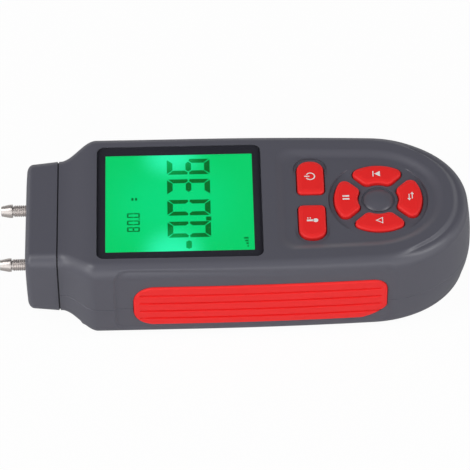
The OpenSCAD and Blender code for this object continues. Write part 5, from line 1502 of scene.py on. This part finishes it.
# %% Finishes of the solids under the skins
SKINNED = {
    case_abs: ["front_shell", "back_shell", "head_cap", "battery_door"],
    grip_rubber: ["left_grip", "right_grip"],
    acrylic: ["display_window"],
    nickel: ["high_port_barb", "low_port_barb"],
    key_rubber: list(KEYS),
}
for material, nodes in SKINNED.items():
    coat(material, nodes)
print("solids under skins:", sum(len(nodes) for nodes in SKINNED.values()))

# %% [markdown]
# ## The table
#
# The photograph is a product shot on pure white. More light on the table would also bleach the
# object. Instead the table looks white only to the camera, and through clear plastic. It still
# shows the object's soft shadow, because only part of what the camera sees of it is its own glow.
# In reflections it is a painted shade: a flat mid grey glow that stands for the paper in the
# object's own shadow, so that the red rubber keeps its full colour on the walls. From beneath the
# sheet is clear, and light that starts right at it passes too, as on a glass table lit from below.
# So the battery door can be looked at.

# %% Lay the table
TABLE_SIZE, TABLE_Z, CLEAR_NEAR = 6, -0.05 * MM, 0.5 * MM
# The second number is painted shade: the strength of the paper's grey glow in reflections, as if
# it lay in the object's shadow.
GLOW_SHARE, MIRRORED_SHADE_STRENGTH = 0.96, 0.36
WHITE = (1, 1, 1, 1)
reach = TABLE_SIZE / 2
corners = [(x, y, TABLE_Z) for x, y in bar_polygon(-reach, reach, -reach, reach)]
table_mesh = bpy.data.meshes.new("table")
table_mesh.from_pydata(corners, [], [(0, 1, 2, 3)])
table = bpy.data.objects.new("table", table_mesh)
bpy.context.scene.collection.objects.link(table)
print("table:", TABLE_SIZE, "m wide")

# %% Finish of the table
paper, tree, output = new_material("matt_white_paper")
path = add_node(tree, "ShaderNodeLightPath")
seen = add_node(tree, "ShaderNodeMath", {"operation": "MAXIMUM"}, {
    0: path.outputs["Is Camera Ray"], 1: path.outputs["Is Transmission Ray"],
})
share = add_node(tree, "ShaderNodeMath", {"operation": "MULTIPLY", 1: GLOW_SHARE}, {
    0: seen.outputs["Value"],
})
sheet = add_node(tree, "ShaderNodeBsdfDiffuse", {"Color": linear("#f4f4f4")})
glow = add_node(tree, "ShaderNodeEmission", {"Color": WHITE, "Strength": 1.0})
# Painted shade: in reflections the paper is a flat mid grey glow, standing for paper in the
# object's shadow.
mirrored = add_node(tree, "ShaderNodeEmission", {"Color": WHITE, "Strength": MIRRORED_SHADE_STRENGTH})
sheet_and_painted_shade = add_node(tree, "ShaderNodeMixShader", {}, {
    0: path.outputs["Is Glossy Ray"], 1: sheet.outputs["BSDF"], 2: mirrored.outputs["Emission"],
})
above = add_node(tree, "ShaderNodeMixShader", {}, {
    0: share.outputs["Value"], 1: sheet_and_painted_shade.outputs["Shader"], 2: glow.outputs["Emission"],
})
starts_here = add_node(tree, "ShaderNodeMath", {"operation": "LESS_THAN", 1: CLEAR_NEAR}, {
    0: path.outputs["Ray Length"],
})
side_of = add_node(tree, "ShaderNodeNewGeometry").outputs["Backfacing"]
opening = add_node(tree, "ShaderNodeMath", {"operation": "MAXIMUM"}, {
    0: side_of, 1: starts_here.outputs["Value"],
})
clear = add_node(tree, "ShaderNodeBsdfTransparent")
one_way = add_node(tree, "ShaderNodeMixShader", {}, {
    0: opening.outputs["Value"], 1: above.outputs["Shader"], 2: clear.outputs["BSDF"],
})
tree.links.new(one_way.outputs["Shader"], output.inputs["Surface"])
table_mesh.materials.append(paper)
print("paper glows with", GLOW_SHARE, "of what the camera sees of it")

# %% [markdown]
# ## The sky
#
# An even white sky would light the object well, but its mirror image would lie on every face as a
# veil. Photographers hang a dark screen where a glossy window would mirror the room, and so does
# this sky: it is almost black above and behind the object, which keeps the display clear and the
# faces deep. It is a little brighter in front. A faint glow low behind the object draws the thin
# bright line along its far edge. Each of the three is a round patch: its strength follows the
# angle between a ray and the patch's middle, so two angles set how wide and how soft it is. Only
# the camera sees plain white in place of this sky.

# %% Helpers for the sky
world = bpy.data.worlds.new("studio")
bpy.context.scene.world = world
world.use_nodes = True
tree = world.node_tree
tree.nodes.clear()
output = add_node(tree, "ShaderNodeOutputWorld")
direction = add_node(tree, "ShaderNodeTexCoord").outputs["Generated"]


def cosine(angle):
    return math.cos(math.radians(angle))


def sky_patch(elevation, edge, core, outside, inside):
    """Strength of the sky: outside beyond the edge of a round patch, and inside in its core.

    The patch's middle is at an elevation from the far horizon, over the top, to the near one at
    180. Edge and core are angles from that middle. All angles are in degrees.
    """
    middle = (0, cosine(elevation), math.sin(math.radians(elevation)))
    near = add_node(tree, "ShaderNodeVectorMath", {"operation": "DOT_PRODUCT", 1: middle}, {
        0: direction,
    })
    return add_node(tree, "ShaderNodeMapRange", {
        "interpolation_type": "SMOOTHSTEP", "From Min": cosine(edge), "From Max": cosine(core),
        "To Min": outside, "To Max": inside,
    }, {"Value": near.outputs["Value"]}).outputs["Result"]


print("world:", world.name)

# %% Build the sky
SKY_STRENGTH, SCREEN_STRENGTH, FRONT_STRENGTH, FAR_STRENGTH = 0.95, 0.03, 0.2, 0.4
screened = sky_patch(74, edge=75, core=46, outside=SKY_STRENGTH, inside=SCREEN_STRENGTH)
front_glow = sky_patch(175, edge=60, core=0, outside=0, inside=FRONT_STRENGTH)
far_glow = sky_patch(3, edge=23.074, core=8.11, outside=0, inside=FAR_STRENGTH)
near_total = add_node(tree, "ShaderNodeMath", {"operation": "ADD"}, {0: screened, 1: front_glow})
total = add_node(tree, "ShaderNodeMath", {"operation": "ADD"}, {
    0: near_total.outputs["Value"], 1: far_glow,
})
white = add_node(tree, "ShaderNodeBackground", {"Color": WHITE, "Strength": 1.0})
sky = add_node(tree, "ShaderNodeBackground", {"Color": WHITE}, {
    "Strength": total.outputs["Value"],
})
path = add_node(tree, "ShaderNodeLightPath")
seen = add_node(tree, "ShaderNodeMixShader", {}, {
    0: path.outputs["Is Camera Ray"], 1: sky.outputs["Background"], 2: white.outputs["Background"],
})
tree.links.new(seen.outputs["Shader"], output.inputs["Surface"])
print("sky strength:", SKY_STRENGTH, "and", SCREEN_STRENGTH, "in the screen")

# %% [markdown]
# ## The softboxes
#
# The sky alone would leave the plastic without a highlight. A sun would throw hard shadows, which
# the photograph hasn't. Three rectangular lamps, as in a photo studio, put a soft highlight on
# the shoulder, on the tail and on the walls to the left. Each one points at the object.

# %% Hang the softboxes
SOFTBOXES = {
    "head_softbox": ((-0.6, -0.1, 1), (0.35, 0.5), 3.4),
    "tail_softbox": ((0.75, -0.2, 0.95), (0.35, 0.5), 3.6),
    "left_softbox": ((-1.1, -0.5, 0.7), (0.5, 0.7), 3),
}
for name, (place, size, watts) in SOFTBOXES.items():
    lamp = bpy.data.lights.new(name, "AREA")
    lamp.shape = "RECTANGLE"
    lamp.size, lamp.size_y = size
    lamp.energy = watts
    box = bpy.data.objects.new(name, lamp)
    bpy.context.scene.collection.objects.link(box)
    box.location = place
    box.rotation_mode = "QUATERNION"
    box.rotation_quaternion = (-Vector(place)).to_track_quat("-Z", "Y")
    print(name, watts, "W")
bpy.context.view_layer.update()
